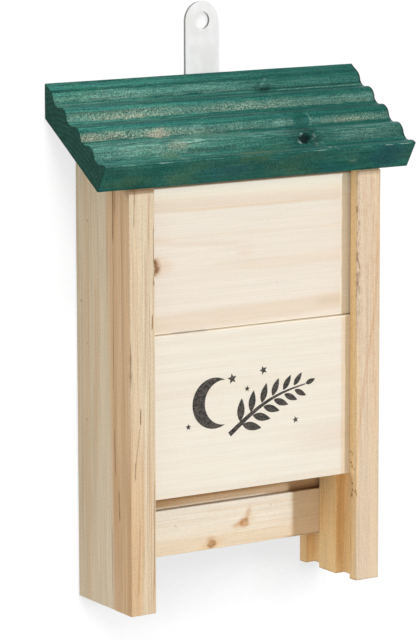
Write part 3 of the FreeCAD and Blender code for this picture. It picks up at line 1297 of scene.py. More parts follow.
def work_slat(skin: Skin) -> None:
    """Tan lower half of the slat, painted warm shade and light at its shaded right end, painted shade on its
    top and lower edge, and its two small knots.

    Args:
        skin: The surface.
    """
    p = skin.points
    x, y, z = p.T
    h = z + 0.6 * noise(p, (60, 20, 20), 101, 2)
    skin.add("tan", 0.60 * (1 - smooth(29, 36, h)))
    for stripe in SLAT_STRIPES:
        stripe.paint(skin, h, x)
    # Painted warm shade and a little painted light at the right end, in the right side's shadow.
    skin.add("tan", 0.95 * smooth(50, 58, x))
    skin.add("ruddy", 0.05 * smooth(48, 58, x))
    skin.add("pale", 0.12 * smooth(50, 58, x))
    # Painted warm shade on the back of the top face, in the gap under the back board.
    upper = smooth(0.6, 0.9, skin.normals[:, 2])
    skin.add("ruddy", 0.30 * upper * smooth(0.8, 1.8, y - y.min()))
    # Painted shade line along the lower edge at the right end.
    skin.add("mark_and_shade", 0.35 * smooth(24.4, 23.6, z) * smooth(44, 52, x))
    ragged = 0.15 * noise(p, (3, 3, 3), 102, 2)
    skin.add("ruddy", 0.5 * spot(x - 0.30 * (z - 42), z, (19.4, 42.5), (3.0, 6.0), 0.2, 1.0, ragged))
    knot(skin, (17.0, 37.2), (2.6, 2.4), 20, 0.62, 0.2, 0.1)
    skin.add("ruddy", 0.6 * spot(x, z - 0.25 * (x - 12.5), (12.5, 36.8), (6.5, 2.0), 0.2))
    knot(skin, (-7.6, 26.2), (2.7, 1.8), 12, 0.75, 0.2, 0.40)
    skin.add("ruddy", 0.4 * spot(x, z, (-8.5, 29.5), (5, 3)))
    skin.add("mark_and_shade", 0.3 * spot(x, z, (-6.6, 25.7), (1.4, 1.4)))
    for at in ((36.5, 46.2), (-34.5, 41.5), (-31, 29), (62, 27.5)):
        skin.add("mark_and_shade", 0.4 * spot(x, z, at, (0.8, 0.5)))


def work_back(skin: Skin) -> None:
    """Plain bands and two knots on each wide back board, and painted warm shade with darker streaks along
    the foot of the lowest.

    Args:
        skin: The surface.
    """
    p = skin.points
    x, _, z = p.T
    h = z + 1.2 * noise(p, (70, 20, 30), 111, 2)
    skin.add("tan", 0.5 * smooth(0.1, 0.8, noise(p, (200, 40, 9), 112, 2)))
    skin.add("tan", 0.25 * band(np.mod(h, 17.0), 7.5, 8.3, 0.6, 1.0))
    # Painted warm shade on the foot under the front board, with darker streaks, darker to the left and in
    # the right side's shadow; its lit lower arris is left out.
    brown = smooth(0.0, 0.6, noise(p, (90, 12, 1.4), 113, 2))
    foot = smooth(PAINTED_SHADE_TOP + 12, PAINTED_SHADE_TOP, z)
    strip = foot * smooth(LIGHT_ARRIS, LIGHT_ARRIS + 0.5, z + 1.2 * smooth(20, 50, x))
    skin.add("ruddy", strip * (0.74 + 0.26 * brown))
    skin.add("mark_and_shade", strip * (0.08 + 0.18 * smooth(-20, -60, x)) * (0.5 + 0.8 * brown))
    skin.add("mark_and_shade", 0.6 * smooth(49, 57, x) * smooth(56.6, 54.8, z) * foot)
    centre = float(z.mean())
    side = 34.0 if int(centre) % 2 else -41.0
    if float(np.ptp(z)) > KNOTLESS_HEIGHT:
        knot(skin, (side, centre + 12), (3.4, 3.0), 10, 0.6, 0.3)
        knot(skin, (-side * 0.6, centre - 31), (1.7, 1.5), 0, 0.6, 0.2)


@dataclass(frozen=True)
class FluteWear:
    """Strip of worn stain beside one trough.

    Attributes:
        index: Number of the trough from the back.
        start: Upper edge of the strip, measured down the slope from the trough.
        end: Its lower edge.
        fade: How far it fades in above its upper edge.
        kind: Painted value that it raises.
        amounts: Strength at each of FLUTE_PLACES.
    """

    index: int
    start: float
    end: float
    fade: float
    kind: str
    amounts: tuple[float, ...]


@dataclass
class RoofBoard:
    """Sloping roof board with flutes of tangent arcs on its top.

    Distances along are measured down the slope from the back arris, and
    distances below from the plane of the ridges.

    Attributes:
        node: CAD node that it stands for.
        thickness: Thickness at the ridges.
        ridge_pitch: Distance from ridge to ridge.
        ridge_radius: Radius of the ridges.
        trough_depth: Depth of the troughs.
        first_trough: Distance along of the first trough.
        troughs: Number of troughs.
        edge_radius: Radius of the arrises.
        end_radius: Radius of the ease at the ends.
        step: Spacing of the vertices across the board.
        rings: Number of rings of vertices along the board.
    """

    node: str = "roof_board"
    thickness: float = 19.0
    ridge_pitch: float = 18.8
    ridge_radius: float = 7.5
    trough_depth: float = 3.9
    first_trough: float = 18.3
    troughs: int = 4
    edge_radius: float = 0.8
    end_radius: float = 0.7
    step: float = 0.75
    rings: int = 250

    def __post_init__(self) -> None:
        """Read the board's place from the frame."""
        low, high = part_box(self.node)
        pitch = math.radians(ROOF_PITCH)
        self.cos, self.sin = math.cos(pitch), math.sin(pitch)
        self.back = high.y / MM - FRONT_Y
        self.top = high.z / MM
        self.left, self.length = low.x / MM, (high.x - low.x) / MM
        self.slope_length = (self.back - (low.y / MM - FRONT_Y)) / self.cos

    def below(self, along: Array) -> Array:
        """Depth of the top surface: a ridge arc near each ridge, a trough arc near each trough.

        With half pitch h and depth d the two arcs meet at an angle a = 2 atan(d / h),
        and their radii add up to h / sin(a).

        Args:
            along: Distances down the slope.

        Returns:
            The depth at each.
        """
        half = self.ridge_pitch / 2
        turn = 2 * math.atan(self.trough_depth / half)
        hollow = half / math.sin(turn) - self.ridge_radius
        offset = np.abs(np.mod(along - self.first_trough + half, self.ridge_pitch) - half)
        from_ridge = half - offset
        ridge = self.ridge_radius - np.sqrt(np.maximum(self.ridge_radius**2 - from_ridge**2, 0))
        trough = self.trough_depth - hollow + np.sqrt(np.maximum(hollow**2 - offset**2, 0))
        depth = np.where(offset < hollow * math.sin(turn), trough, ridge)
        whole = math.floor((self.slope_length - self.first_trough - half) / self.ridge_pitch)
        last = self.first_trough + self.ridge_pitch * whole
        flat = (along < self.first_trough - half) | (along > last + half)
        return np.where(flat, 0.0, depth)

    def to_section(self, along: Array, below: Array) -> Array:
        """Turn along and below into rows of Y and Z."""
        y = self.back - along * self.cos + below * self.sin
        return np.stack([y, self.top - along * self.sin - below * self.cos], axis=1)

    def outline(self) -> Array:
        """Section of the board.

        The straight run of the top is cut out of a plain outline with eased
        corners, and the flutes are put in its place.

        Returns:
            Its points in Y and Z, anticlockwise seen from the right.
        """
        r, t, end = self.edge_radius, self.thickness, self.slope_length
        clear = r * 1.8
        along = np.arange(r, end - r, self.step)
        top = np.stack([along, self.below(along)], axis=1)
        corners = [(t * ROOF_SLOPE, t), (0.0, 0.0), (end, 0.0), (end, t)]
        arcs = eased_outline(corners[::-1], [r] * 4, [self.step] * 4)
        inner = (arcs[:, 1] < 1e-6) & (arcs[:, 0] > clear) & (arcs[:, 0] < end - r)
        start = int(np.argmax(inner & ~np.roll(inner, 1)))
        order = np.roll(arcs, -start, axis=0)
        keep = np.roll(~inner, -start)
        rising = order[~keep][0, 0] < order[~keep][-1, 0]
        middle = top[(top[:, 0] > clear) & (top[:, 0] < end - r)]
        ring = np.vstack([middle if rising else middle[::-1], order[keep]])
        section = self.to_section(ring[:, 0], ring[:, 1])
        y, z = section.T
        area = np.sum(y * np.roll(z, -1) - np.roll(y, -1) * z)
        return section if area > 0 else section[::-1]

    def build(self) -> Piece:
        """Carry the section from the left end to the right end.

        Returns:
            The piece.
        """

        def place(y: Array, z: Array, t: Array) -> Array:
            """Along X from the left end."""
            return np.stack([self.left + t * self.length, y, z], axis=1)

        loft = Loft(self.outline(), np.linspace(0, 1, self.rings), place, self.length, self.end_radius)
        piece = loft.build("roof_board_piece", self.work)
        return dress(piece, ROOF_STAIN.make(), "green_stained_wood", self.node)

    def work(self, skin: Skin) -> None:
        """Stain and wear the surface."""
        RoofWork(self, skin).run()


class RoofWork:
    """Stain and wear of the roof board's surface.

    Attributes:
        board: The roof board.
        skin: Its surface.
        x: Place of each vertex along X.
        along: Its distance down the slope.
        below: Its distance below the ridges.
        over: How squarely it faces straight off the slope.
        level: How squarely it faces up the slope.
        top: 1 on the fluted top.
        front: 1 on the front face.
        rough: Fine noise.
    """

    def __init__(self, board: RoofBoard, skin: Skin) -> None:
        """Work out where each vertex lies and which way it faces.

        Args:
            board: The roof board.
            skin: Its surface.
        """
        x, y, z = skin.points.T
        c, s = board.cos, board.sin
        self.board, self.skin, self.x = board, skin, x
        self.along = (board.back - y) * c + (board.top - z) * s
        self.below = -(board.back - y) * s + (board.top - z) * c
        self.over = skin.normals @ np.array([0, -s, c])
        self.level = skin.normals @ np.array([0, c, s])
        self.top = smooth(0.2, 0.45, self.over) * smooth(6.5, 5.0, self.below)
        self.front = smooth(0.7, 0.9, -self.level)
        self.rough = self.noise((2.0, 2.0, 2.0), 151)

    def run(self) -> None:
        """Do all the work in order."""
        for name in ("worn", "mint", "bare", "olive", "deep", "blue", "glint", "mark_and_shade"):
            self.skin.add(name, np.zeros(len(self.x)))
        self.cloud()
        self.ease()
        self.wear_flutes()
        self.blotches()
        self.open_knot()
        self.small_knots()
        self.nibble()

    def noise(self, scale: Sequence[float], seed: int, octaves: int = 3) -> Array:
        """Noise over the board."""
        return noise(self.skin.points, scale, seed, octaves)

    def paint(self, name: str, amount: Array) -> None:
        """Raise a painted value on the fluted top."""
        self.skin.add(name, self.top * amount)

    def cloud(self) -> None:
        """Uneven stain, and painted shade along the arris at the top's right end."""
        end, add = self.board.length / 2, self.skin.add
        cloud = self.noise((14, 6, 6), 120)
        add("deep", self.front * (0.62 + 0.30 * cloud))
        add("olive", self.front * (0.32 + 0.34 * self.noise((18, 8, 8), 119, 2)))
        add("mark_and_shade", self.front * (0.19 + 0.14 * self.noise((24, 6, 6), 118)))
        self.paint("deep", 0.62 * smooth(-80, 80, self.x) + 0.10 * cloud)
        # Painted shade along the arris at the top's right end.
        self.paint("mark_and_shade", 0.8 * smooth(end - 1.6, end - 0.7, self.x))

    def ease(self) -> None:
        """Worn arrises, slow waves and the ripple of the flutes."""
        sink, across = self.skin.sink, np.abs(self.skin.normals[:, 0])
        flatness = np.maximum.reduce([across, np.abs(self.over), np.abs(self.level)])
        corner = smooth(0.25, 0.55, 1 - flatness) * (1 - self.top)
        sink(0.12 * corner * (1 + self.noise((7, 7, 7), 121)))
        sink(0.06 + 0.06 * self.noise((50, 8, 8), 122))
        sink(self.top * (0.06 + 0.06 * self.noise((16, 1.1, 1.1), 123, 2)))

    def wear_flutes(self) -> None:
        """Worn strips beside the troughs, painted light on the troughs' lower sides and two lines by the
        first trough.
        """
        first, pitch = self.board.first_trough, self.board.ridge_pitch
        patch = self.noise((30, 60, 60), 124, 2)
        fine = self.noise((2.2, 1.0, 1.0), 125, 2)
        for flute in FLUTE_WEAR:
            centre = first + pitch * flute.index
            ragged = self.along + 0.6 * self.noise((9, 9, 9), 126 + flute.index, 2)
            strip = self.top * band(ragged, centre + flute.start, centre + flute.end, flute.fade, 0.9)
            strength = np.interp(self.x, FLUTE_PLACES, flute.amounts) * (1 + 0.6 * patch)
            self.skin.add(flute.kind, strip * strength)
            self.skin.sink(strip * (0.07 + 0.10 * fine))
        # Painted light that lifts the shade on the lower side of each trough.
        for index in range(self.board.troughs):
            past = self.along - (first + pitch * index)
            self.paint("mint", 0.20 * band(past, 0.2, 3.5, 1.0, 3.0) * smooth(30, -50, self.x))
        past, right = self.along - first, smooth(34, 60, self.x)
        rubbed = 0.18 + 0.52 * right + 0.3 * smooth(-50, -85, self.x)
        self.paint("mark_and_shade", band(past, -1.9, -1.3, 0.3, 0.3) * (0.28 + 0.27 * right))
        self.paint("worn", band(past, -0.6, -0.1, 0.3, 0.3) * rubbed)

    def blotches(self) -> None:
        """Pale, bare, dark and olive patches, and two short dark lines on the top."""
        wobble = 0.3 * self.noise((6, 4, 4), 141, 2)
        upper = (self.top, self.along, ROOF_SPOTS)
        for face, other, spots in (upper, (self.front, self.below, ROOF_FRONT_SPOTS)):
            for name, amount, at, radii in spots:
                self.skin.add(name, face * amount * spot(self.x, other, at, radii, 0.3, 1.05, wobble))
        self.paint("mark_and_shade", 0.45 * band(self.along, 71.3, 71.9, 0.4, 0.4) * band(self.x, -46, -18, 3, 8))
        self.paint("mark_and_shade", 0.30 * band(self.along, 53.6, 54.2, 0.4, 0.5) * band(self.x, -93, -80, 4, 4))

    def open_knot(self) -> None:
        """Open black knot near the front, with rings, rays, and painted glints on its torn rims and on the
        top nearby.
        """
        x, along, rough = self.x, self.along, self.rough
        lean = (x - 39.0) + 0.35 * (along - 70.3)
        d = np.hypot(lean / 6.0, (along - 69.6) / 5.4) + 0.22 * rough
        hole = spot(x, along, (38.2, 69.8), (5.4, 3.5), 0.40, 0.85, 0.25 * rough)
        disc = 1 - smooth(0.85, 1.1, d)
        halo = spot(lean, along, (-3, 65.0), (9.5, 6.0), 0.5, 1.7)
        turn = np.arctan2(along - 69.6, lean)
        spokes = noise(np.stack([turn * 3, d, d * 0], axis=1), (0.45, 0.9, 1), 153, 2)
        rays = smooth(0.1, 0.6, spokes) * band(d, 0.95, 1.7, 0.1, 0.6)
        rings = disc * (0.25 + 0.25 * np.cos(d * 12))
        self.paint("deep", 0.85 * halo)
        self.paint("mark_and_shade", 0.95 * hole + rings + 0.14 * halo + 0.5 * rays)
        self.skin.sink(self.top * (hole * 1.6 + 0.5 * disc * (0.5 + 0.5 * np.cos(d * 9))))
        chips = smooth(0.0, 0.4, self.noise((1.3, 1.3, 1.3), 152, 2))
        left_rim = smooth(-0.3, -0.8, np.cos(turn)) * band(d, 0.66, 0.80, 0.08, 0.08)
        right_rim = smooth(0.6, 0.9, np.cos(turn + 0.5)) * band(d, 0.85, 1.02, 0.08, 0.08)
        # Painted glints on the torn rims and on the top nearby.
        self.paint("glint", chips * (0.55 * left_rim + 0.35 * right_rim))
        self.paint("glint", 0.18 * chips * band(x, 42, 48, 3, 4) * band(along, 72.5, 78.5, 1.5, 1.5))
        self.paint("glint", 0.35 * chips * band(x, 47, 52, 1.5, 3) * band(along, 82.0, 83.5, 0.8, 0.8))

    def small_knots(self) -> None:
        """Tight knot with a pale ray in the first trough, and a smooth round patch with a pale rim."""
        x, along, top, rough = self.x, self.along, self.top, self.rough
        small = np.hypot((x - 38) / 6.0, (along - 16.4) / 2.0) + 0.35 * rough
        self.paint("mark_and_shade", 0.6 * (1 - smooth(0.2, 1.2, small)))
        self.paint("deep", 0.7 * (1 - smooth(0.5, 2.2, small)))
        self.skin.sink(top * 0.35 * (1 - smooth(0.3, 1.0, small)))
        ray = np.abs((along - 12.6) + 0.9 * (x - 39))
        self.paint("mint", 0.38 * (1 - smooth(0.3, 1.8, ray)) * band(x, 37, 41, 1.5, 2))
        ring = np.hypot((x - 45.8) / 1.2, (along - 51.4) * 1.25) + 0.5 * rough
        self.paint("mint", 0.7 * band(ring, 5.6, 6.0, 0.5, 0.5) * smooth(49.2, 51.7, x))
        patch = 1 - smooth(4.6, 6.2, ring)
        self.skin.paint["worn"] *= 1 - 0.80 * patch * top
        self.paint("deep", 0.20 * patch)
        self.skin.sink(top * 0.2 * (1 - smooth(4.0, 5.8, ring)))

    def nibble(self) -> None:
        """Nibbled upper arris of the front face, with a painted glint along it."""
        x, end = self.x, self.board.slope_length
        arris = smooth(0.25, 0.55, np.minimum(self.over, -self.level)) * smooth(3, 1, self.below)
        arris = arris * smooth(end - 2.5, end - 1.5, self.along)
        left, middle, right = band(x, -92, -52, 6, 6), 0.7 * band(x, 36, 52, 3, 6), band(x, 78, 106, 6, 6)
        chipped = np.maximum.reduce([left, middle, right, 0 * x + 0.2])
        nibbled = smooth(-0.2, 0.5, self.noise((5, 9, 9), 131, 2)) * chipped
        # Painted glint along the nibbled arris.
        self.skin.add("glint", arris * nibbled * 0.55)
        self.skin.sink(arris * nibbled * 0.3)


@dataclass
class Hanger:
    """Steel strap with its wall hole, and the two screws that hold it.

    Attributes:
        strap, screws: CAD nodes.
        ease: Radius of the strap's eased edges.
        around: Number of vertices round a screw.
        thread_pitch: Distance from thread to thread.
        thread_depth: Depth of the thread as a share of the shank's radius.
    """

    strap: str = "hanger_strap"
    screws: str = "hanger_screws"
    ease: float = 0.25
    around: int = 72
    thread_pitch: float = 1.3
    thread_depth: float = 0.14

    def build(self) -> None:
        """Make the strap and the screws."""
        self.make_strap()
        self.make_screws()

    def make_strap(self) -> Piece:
        """Copy the strap's exact shape and ease its edges.

        Returns:
            The piece.
        """
        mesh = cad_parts[self.strap].data.copy()
        work = bmesh.new()
        work.from_mesh(mesh)
        bmesh.ops.remove_doubles(work, verts=work.verts, dist=1e-6)
        bmesh.ops.dissolve_limit(work, angle_limit=math.radians(1), verts=work.verts, edges=work.edges)
        work.to_mesh(mesh)
        work.free()
        mesh.materials.clear()
        piece = bpy.data.objects.new("hanger_strap_piece", mesh)
        bpy.context.scene.collection.objects.link(piece)
        bevel = piece.modifiers.new("eased_edges", "BEVEL")
        bevel.width, bevel.segments, bevel.limit_method = self.ease * MM, 3, "ANGLE"
        bevel.angle_limit = math.radians(50)
        mesh.polygons.foreach_set("use_smooth", [True] * len(mesh.polygons))
        weighted = piece.modifiers.new("flat_faces", "WEIGHTED_NORMAL")
        weighted.keep_sharp = True
        return dress(piece, HANGER_PAINT.make(), "hanger_steel", self.strap)

    def make_screws(self) -> Piece:
        """Both screws: a flat countersunk head with a cross recess, on a threaded shank.

        Returns:
            The piece.
        """
        low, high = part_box(self.screws)
        radius = (high.z - low.z) / MM / 2
        z, outer = (high.z + low.z) / MM / 2, high.y / MM - FRONT_Y
        across = (high.x - low.x) / MM / 2 - radius
        length = (high.y - low.y) / MM
        left, faces = self.screw(-across, outer, z, radius, length)
        right, _ = self.screw(across, outer, z, radius, length)
        faces = faces + [[number + len(left) for number in face] for face in faces]
        piece = make_mesh("hanger_screws_piece", np.vstack([left, right]), faces, [True] * len(faces))
        return dress(piece, SCREW_ZINC.make(), "screw_steel", self.screws)

    def screw(self, x: float, y: float, z: float, head: float,
              length: float) -> tuple[Array, list[list[int]]]:
        """One screw about an axis along Y.

        The profile runs from the middle of the head's face over its rim and down the
        shank to the point. The face sinks where it lies in a cross of two slots,
        and the shank's radius follows a helix.

        Args:
            x: Place of the axis.
            y: Place of the head's face.
            z: Height of the axis.
            head: Radius of the head.
            length: Length from the face to the point.

        Returns:
            The points and the vertex numbers of each face.
        """
        shank = head / 2
        face = np.linspace(0.02, head - 0.12, 12)
        rim = np.array([[head - 0.04, 0.02], [head, 0.12], [head - 0.2, 0.35], [shank, head - shank]])
        body = np.linspace(head - shank + 0.2, length - 0.4, 70)
        taper = np.clip((length - body) / (length * 0.25), 0.12, 1)
        flat, stem = np.stack([face, 0 * face], axis=1), np.stack([shank * taper, body], axis=1)
        profile = np.vstack([flat, rim, stem, [[0.05, length]]])
        turn = np.linspace(0, 2 * math.pi, self.around, endpoint=False)
        r, d = (np.repeat(profile[:, i:i + 1], self.around, axis=1) for i in (0, 1))
        threaded = (d > head - shank + 1.0) & (d < length - 0.5)
        wave = 0.5 - 0.5 * np.cos(turn - d * 2 * math.pi / self.thread_pitch)
        r = r * (1 - self.thread_depth * threaded * wave)
        u, v = r * np.cos(turn + 0.4), r * np.sin(turn + 0.4)
        slots = [band(np.abs(a), -1, 0.28, 0.1, 0.14) * band(np.abs(b), -1, 1.35, 0.1, 0.25)
                 for a, b in ((u, v), (v, u))]
        d = d + (r < head - 0.1) * (d < 1e-6) * np.maximum(*slots) * 0.9
        points = np.stack([x + u, y - d, z + v], axis=-1).reshape(-1, 3)
        number = np.arange(len(points)).reshape(len(profile), self.around)
        after = np.roll(number, -1, axis=1)
        quads = np.stack([number[:-1], number[1:], after[1:], after[:-1]], axis=-1).reshape(-1, 4)
        return points, quads.tolist() + [number[0].tolist(), number[-1][::-1].tolist()]


@dataclass
class Nails:
    """Lost-head nails under the roof's stain. The frame's own shapes stay."""

    node: str = "roof_nails"

    def build(self) -> None:
        """Give the nails their steel."""
        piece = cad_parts[self.node]
        piece.data.materials.clear()
        piece.data.materials.append(NAIL_STEEL.make())
        LOG.info("%s keeps its shape", self.node)


@dataclass
class Print:
    """Generic night motif printed in black on the lower front board.

    A crescent moon, a leafy twig and a few stars, as thin flat shapes of ink.

    Attributes:
        board: CAD node of the board that it is printed on.
        proud: How far the ink stands in front of the board.
        sunk: How far it goes in.
        moon_at: Centre of the moon in X and Z.
        moon_radius: Its radius.
    """

    board: str = "front_board_lower"
    proud: float = 0.07
    sunk: float = 0.25
    moon_at: Point = (-27.0, 125.0)
    moon_radius: float = 16.0

    def build(self) -> Piece:
        """Join all the shapes into one piece.

        Returns:
            The piece.
        """
        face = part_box(self.board)[0].y / MM - FRONT_Y
        points: list[Array] = []
        faces: list[list[int]] = []
        start = 0
        for shape in [self.moon(), *self.twig(), *self.stars()]:
            count = len(shape)
            front, back = start + np.arange(count), start + count + np.arange(count)
            for y in (face - self.proud, face + self.sunk):
                points.append(np.stack([shape[:, 0], np.full(count, y), shape[:, 1]], axis=1))
            sides = np.stack([front, back, np.roll(back, -1), np.roll(front, -1)], axis=1)
            faces += [front.tolist(), back[::-1].tolist(), *sides.tolist()]
            start += 2 * count
        piece = make_mesh("board_print", np.vstack(points), faces, [False] * len(faces))
        return dress(piece, PRINT_INK.make(), "pale_wood")

    def moon(self) -> Array:
        """Crescent between two circles.

        They meet where x = (s^2 + R^2 - r^2) / 2s, with s the distance between
        their centres and R and r their radii.

        Returns:
            Its points in X and Z.
        """
        (cx, cz), radius = self.moon_at, self.moon_radius
        shift, reach = radius * 0.44, radius * 0.88
        tip = (shift**2 + radius**2 - reach**2) / (2 * shift)
        start, end = math.acos(tip / radius), math.acos((tip - shift) / reach)
        outer = np.linspace(start, 2 * math.pi - start, 48)
        inner = np.linspace(2 * math.pi - end, end, 42)[1:-1]
        rim = np.stack([cx + radius * np.cos(outer), cz + radius * np.sin(outer)], axis=1)
        bite = np.stack([cx + shift + reach * np.cos(inner), cz + reach * np.sin(inner)], axis=1)
        return np.vstack([rim, bite])

    @staticmethod
    def leaf(root: Point, lean: float, length: float, width: float) -> Array:
        """Pointed leaf. With t along its length, its half width is width times sin(pi t)
        to the power 0.8, times 1 - 0.35 t.

        Args:
            root: Where it starts, in X and Z.
            lean: Its direction in degrees.
            length: Its length.
            width: Its greatest half width.

        Returns:
            Its points in X and Z.
        """
        t = np.linspace(0, 1, 18)
        half = width * np.sin(math.pi * t) ** 0.8 * (1 - 0.35 * t)
        along = np.concatenate([t, t[-2:0:-1]]) * length
        side = np.concatenate([-half, half[-2:0:-1]])
        c, s = math.cos(math.radians(lean)), math.sin(math.radians(lean))
        return np.stack([root[0] + along * c - side * s, root[1] + along * s + side * c], axis=1)

    def twig(self) -> list[Array]:
        """A tapering twig that rises to the right, with leaves on both sides and one at its tip.

        Returns:
            Its stem and its leaves.
        """
        t = np.linspace(0, 1, 40)
        x = -16 + 56 * t
        z = 104 + 26 * t + 5 * np.sin(t * math.pi)
        slope = np.gradient(z, x)
        norm = np.stack([-slope, np.ones_like(t)], axis=1) / np.hypot(1, slope)[:, None]
        half = (1.25 * (1 - t) + 0.35)[:, None]
        line = np.stack([x, z], axis=1)
        shapes = [np.vstack([line - norm * half, (line + norm * half)[::-1]])]
        for i, share in enumerate((0.16, 0.30, 0.44, 0.58, 0.72, 0.86)):
            k = int(share * (len(t) - 1))
            base = math.degrees(math.atan(slope[k]))
            size = 13.5 * (1.15 - 0.5 * share)
            for sign in (-1, 1):
                root = line[k] + norm[k] * sign * 1.4 + np.array([0.6, 0.25]) * (i % 2)
                shapes.append(self.leaf(root, base + sign * (52 - 14 * share), size, size * 0.22))
        shapes.append(self.leaf(line[-1] + np.array([0.6, 0.1]), 20, 7.5, 1.9))
        return shapes

    @staticmethod
    def stars() -> list[Array]:
        """Five-pointed stars: the radius swings between a long and a short value ten times.

        Returns:
            The stars.
        """
        shapes = []
        k = np.arange(10)
        for cx, cz, radius, turn in STARS:
            reach = np.where(k % 2 == 0, radius, radius * 0.45)
            a = math.radians(90 + turn) + k * math.pi / 5
            shapes.append(np.stack([cx + reach * np.cos(a), cz + reach * np.sin(a)], axis=1))
        return shapes


# Studio


@dataclass
class Studio:
    """Camera, lamps, wall and floor.

    Attributes:
        focal_px: Focal length in pixels of an image that is image_height pixels high.
        camera: Camera position in metres.
        yaw, pitch, roll: Camera angles in degrees.
        ambient: Strength of the even soft light.
        ambient_colour: Its colour.
        key, left_fill, back_light: Strengths of the lamps on the right, on the left and behind.
        key_colour, left_colour: Their colours. The one behind has the first.
        wall_gap: Gap between the strap and the wall in metres.
        floor_z: Height of the floor in metres.
        wall_reach: Half the wall's width, and the height of its top, in metres.
        floor_reach: Half the floor's width in metres.
        shade_reach: How near a thing has to be to darken a sheet, in metres.
        shade: Brightness of a sheet in the deepest shade.
    """

    focal_px: float = 3383.27
    image_height: float = 640.0
    camera: tuple[float, float, float] = (-1.12071, -1.74793, 0.53578)
    yaw: float = 32.251
    pitch: float = 9.955
    roll: float = -0.135
    ambient: float = 0.57
    ambient_colour: tuple[float, float, float] = (1.0, 0.82, 0.61)
    key: float = 1.80
    key_colour: tuple[float, float, float] = (0.78, 0.88, 1.0)
    left_fill: float = 0.45
    left_colour: tuple[float, float, float] = (0.6, 0.8, 1.0)
    back_light: float = 1.3
    wall_gap: float = 0.0004
    floor_z: float = -0.6
    wall_reach: float = 4.0
    floor_reach: float = 6.0
    shade_reach: float = 0.11
    shade: float = 0.77

    def build(self) -> None:
        """Set everything up."""
        self.place_camera()
        self.lamp("key_lamp", (0.52, -1.0, 0.30), self.key, 4.0, self.key_colour)
        self.lamp("left_lamp", (-1.0, -0.55, 0.25), self.left_fill, 50.0, self.left_colour)
        self.lamp("back_lamp", (0.5, 0.85, 0.45), self.back_light, 25.0, self.key_colour)
        self.make_world()
        self.make_stage()

    def place_camera(self) -> None:
        """Point the camera by its angles: the columns are right, up and backwards."""
        yaw, pitch, roll = (math.radians(a) for a in (self.yaw, self.pitch, self.roll))
        ahead = Vector((math.sin(yaw) * math.cos(pitch), math.cos(yaw) * math.cos(pitch), -math.sin(pitch)))
        right = Vector((math.cos(yaw), -math.sin(yaw), 0))
        up = right.cross(ahead)
        right_rolled = right * math.cos(roll) + up * math.sin(roll)
        up_rolled = up * math.cos(roll) - right * math.sin(roll)
        data = bpy.data.cameras.new("camera")
        data.sensor_width = 36.0
        data.lens = self.focal_px / self.image_height * data.sensor_width
        data.clip_start, data.clip_end = 0.05, 50
        made = bpy.data.objects.new("camera", data)
        turned = Matrix((right_rolled, up_rolled, -ahead)).transposed().to_4x4()
        made.matrix_world = Matrix.Translation(self.camera) @ turned
        bpy.context.scene.collection.objects.link(made)
        bpy.context.scene.camera = made

    @staticmethod
    def lamp(name: str, towards: Sequence[float], strength: float, softness: float,
             colour: Sequence[float]) -> None:
        """Add a distant lamp.

        Args:
            name: Its name.
            towards: Direction in which it stands.
            strength: Its strength.
            softness: How wide it looks, in degrees.
            colour: Its colour.
        """
        data = bpy.data.lights.new(name, "SUN")
        data.energy = strength
        data.color = colour
        data.angle = math.radians(softness)
        made = bpy.data.objects.new(name, data)
        made.rotation_mode = "QUATERNION"
        made.rotation_quaternion = Vector(towards).to_track_quat("Z", "Y")
        bpy.context.scene.collection.objects.link(made)

    def make_world(self) -> None:
        """White to the camera and in reflections, and an even soft light otherwise."""
        sh = Shader("studio", world=True)
        light = sh.node("Background", (*self.ambient_colour, 1), self.ambient)
        white = sh.node("Background", (1, 1, 1, 1))
        pick = sh.node("MixShader", sh.seen(), light.outputs[0], white.outputs[0])
        sh.node("OutputWorld", pick.outputs[0])
        bpy.context.scene.world = sh.owner

    def make_stage(self) -> None:
        """A wall right behind the box and a floor below it."""
        y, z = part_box("hanger_strap")[1].y + self.wall_gap, self.floor_z
        w, f = self.wall_reach, self.floor_reach
        self.sheet("wall", [(-w, y, z), (w, y, z), (w, y, w), (-w, y, w)])
        self.sheet("floor", [(-f, -f, z), (f, -f, z), (f, f, z), (-f, f, z)])

    def sheet(self, name: str, corners: Sequence[Sequence[float]]) -> None:
        """Add a flat white sheet that glows with a painted soft shade and can't be seen from behind.

        The camera sees it glow, dimmed by a painted shade where the box hides the sky above it,
        but not right of the box or far below; faint real shadows lie on top. Light
        bounces off it as off a white wall, and lamps shine through it.

        Args:
            name: Name of the sheet.
            corners: Its four corners, anticlockwise seen from its face.
        """
        mesh = bpy.data.meshes.new(name)
        mesh.from_pydata(corners, [], [(0, 1, 2, 3)])
        made = bpy.data.objects.new(name, mesh)
        bpy.context.scene.collection.objects.link(made)
        sh = Shader(name + "_white")
        here = sh.node("NewGeometry").outputs
        raised = sh.vector("ADD", here["Normal"], (-1.2, 0, 1.8)).outputs[0]
        upwards = sh.vector("NORMALIZE", raised).outputs[0]
        sky = sh.node("AmbientOcclusion", None, self.shade_reach, upwards, samples=16).outputs["AO"]
        place = sh.node("SeparateXYZ", here["Position"]).outputs
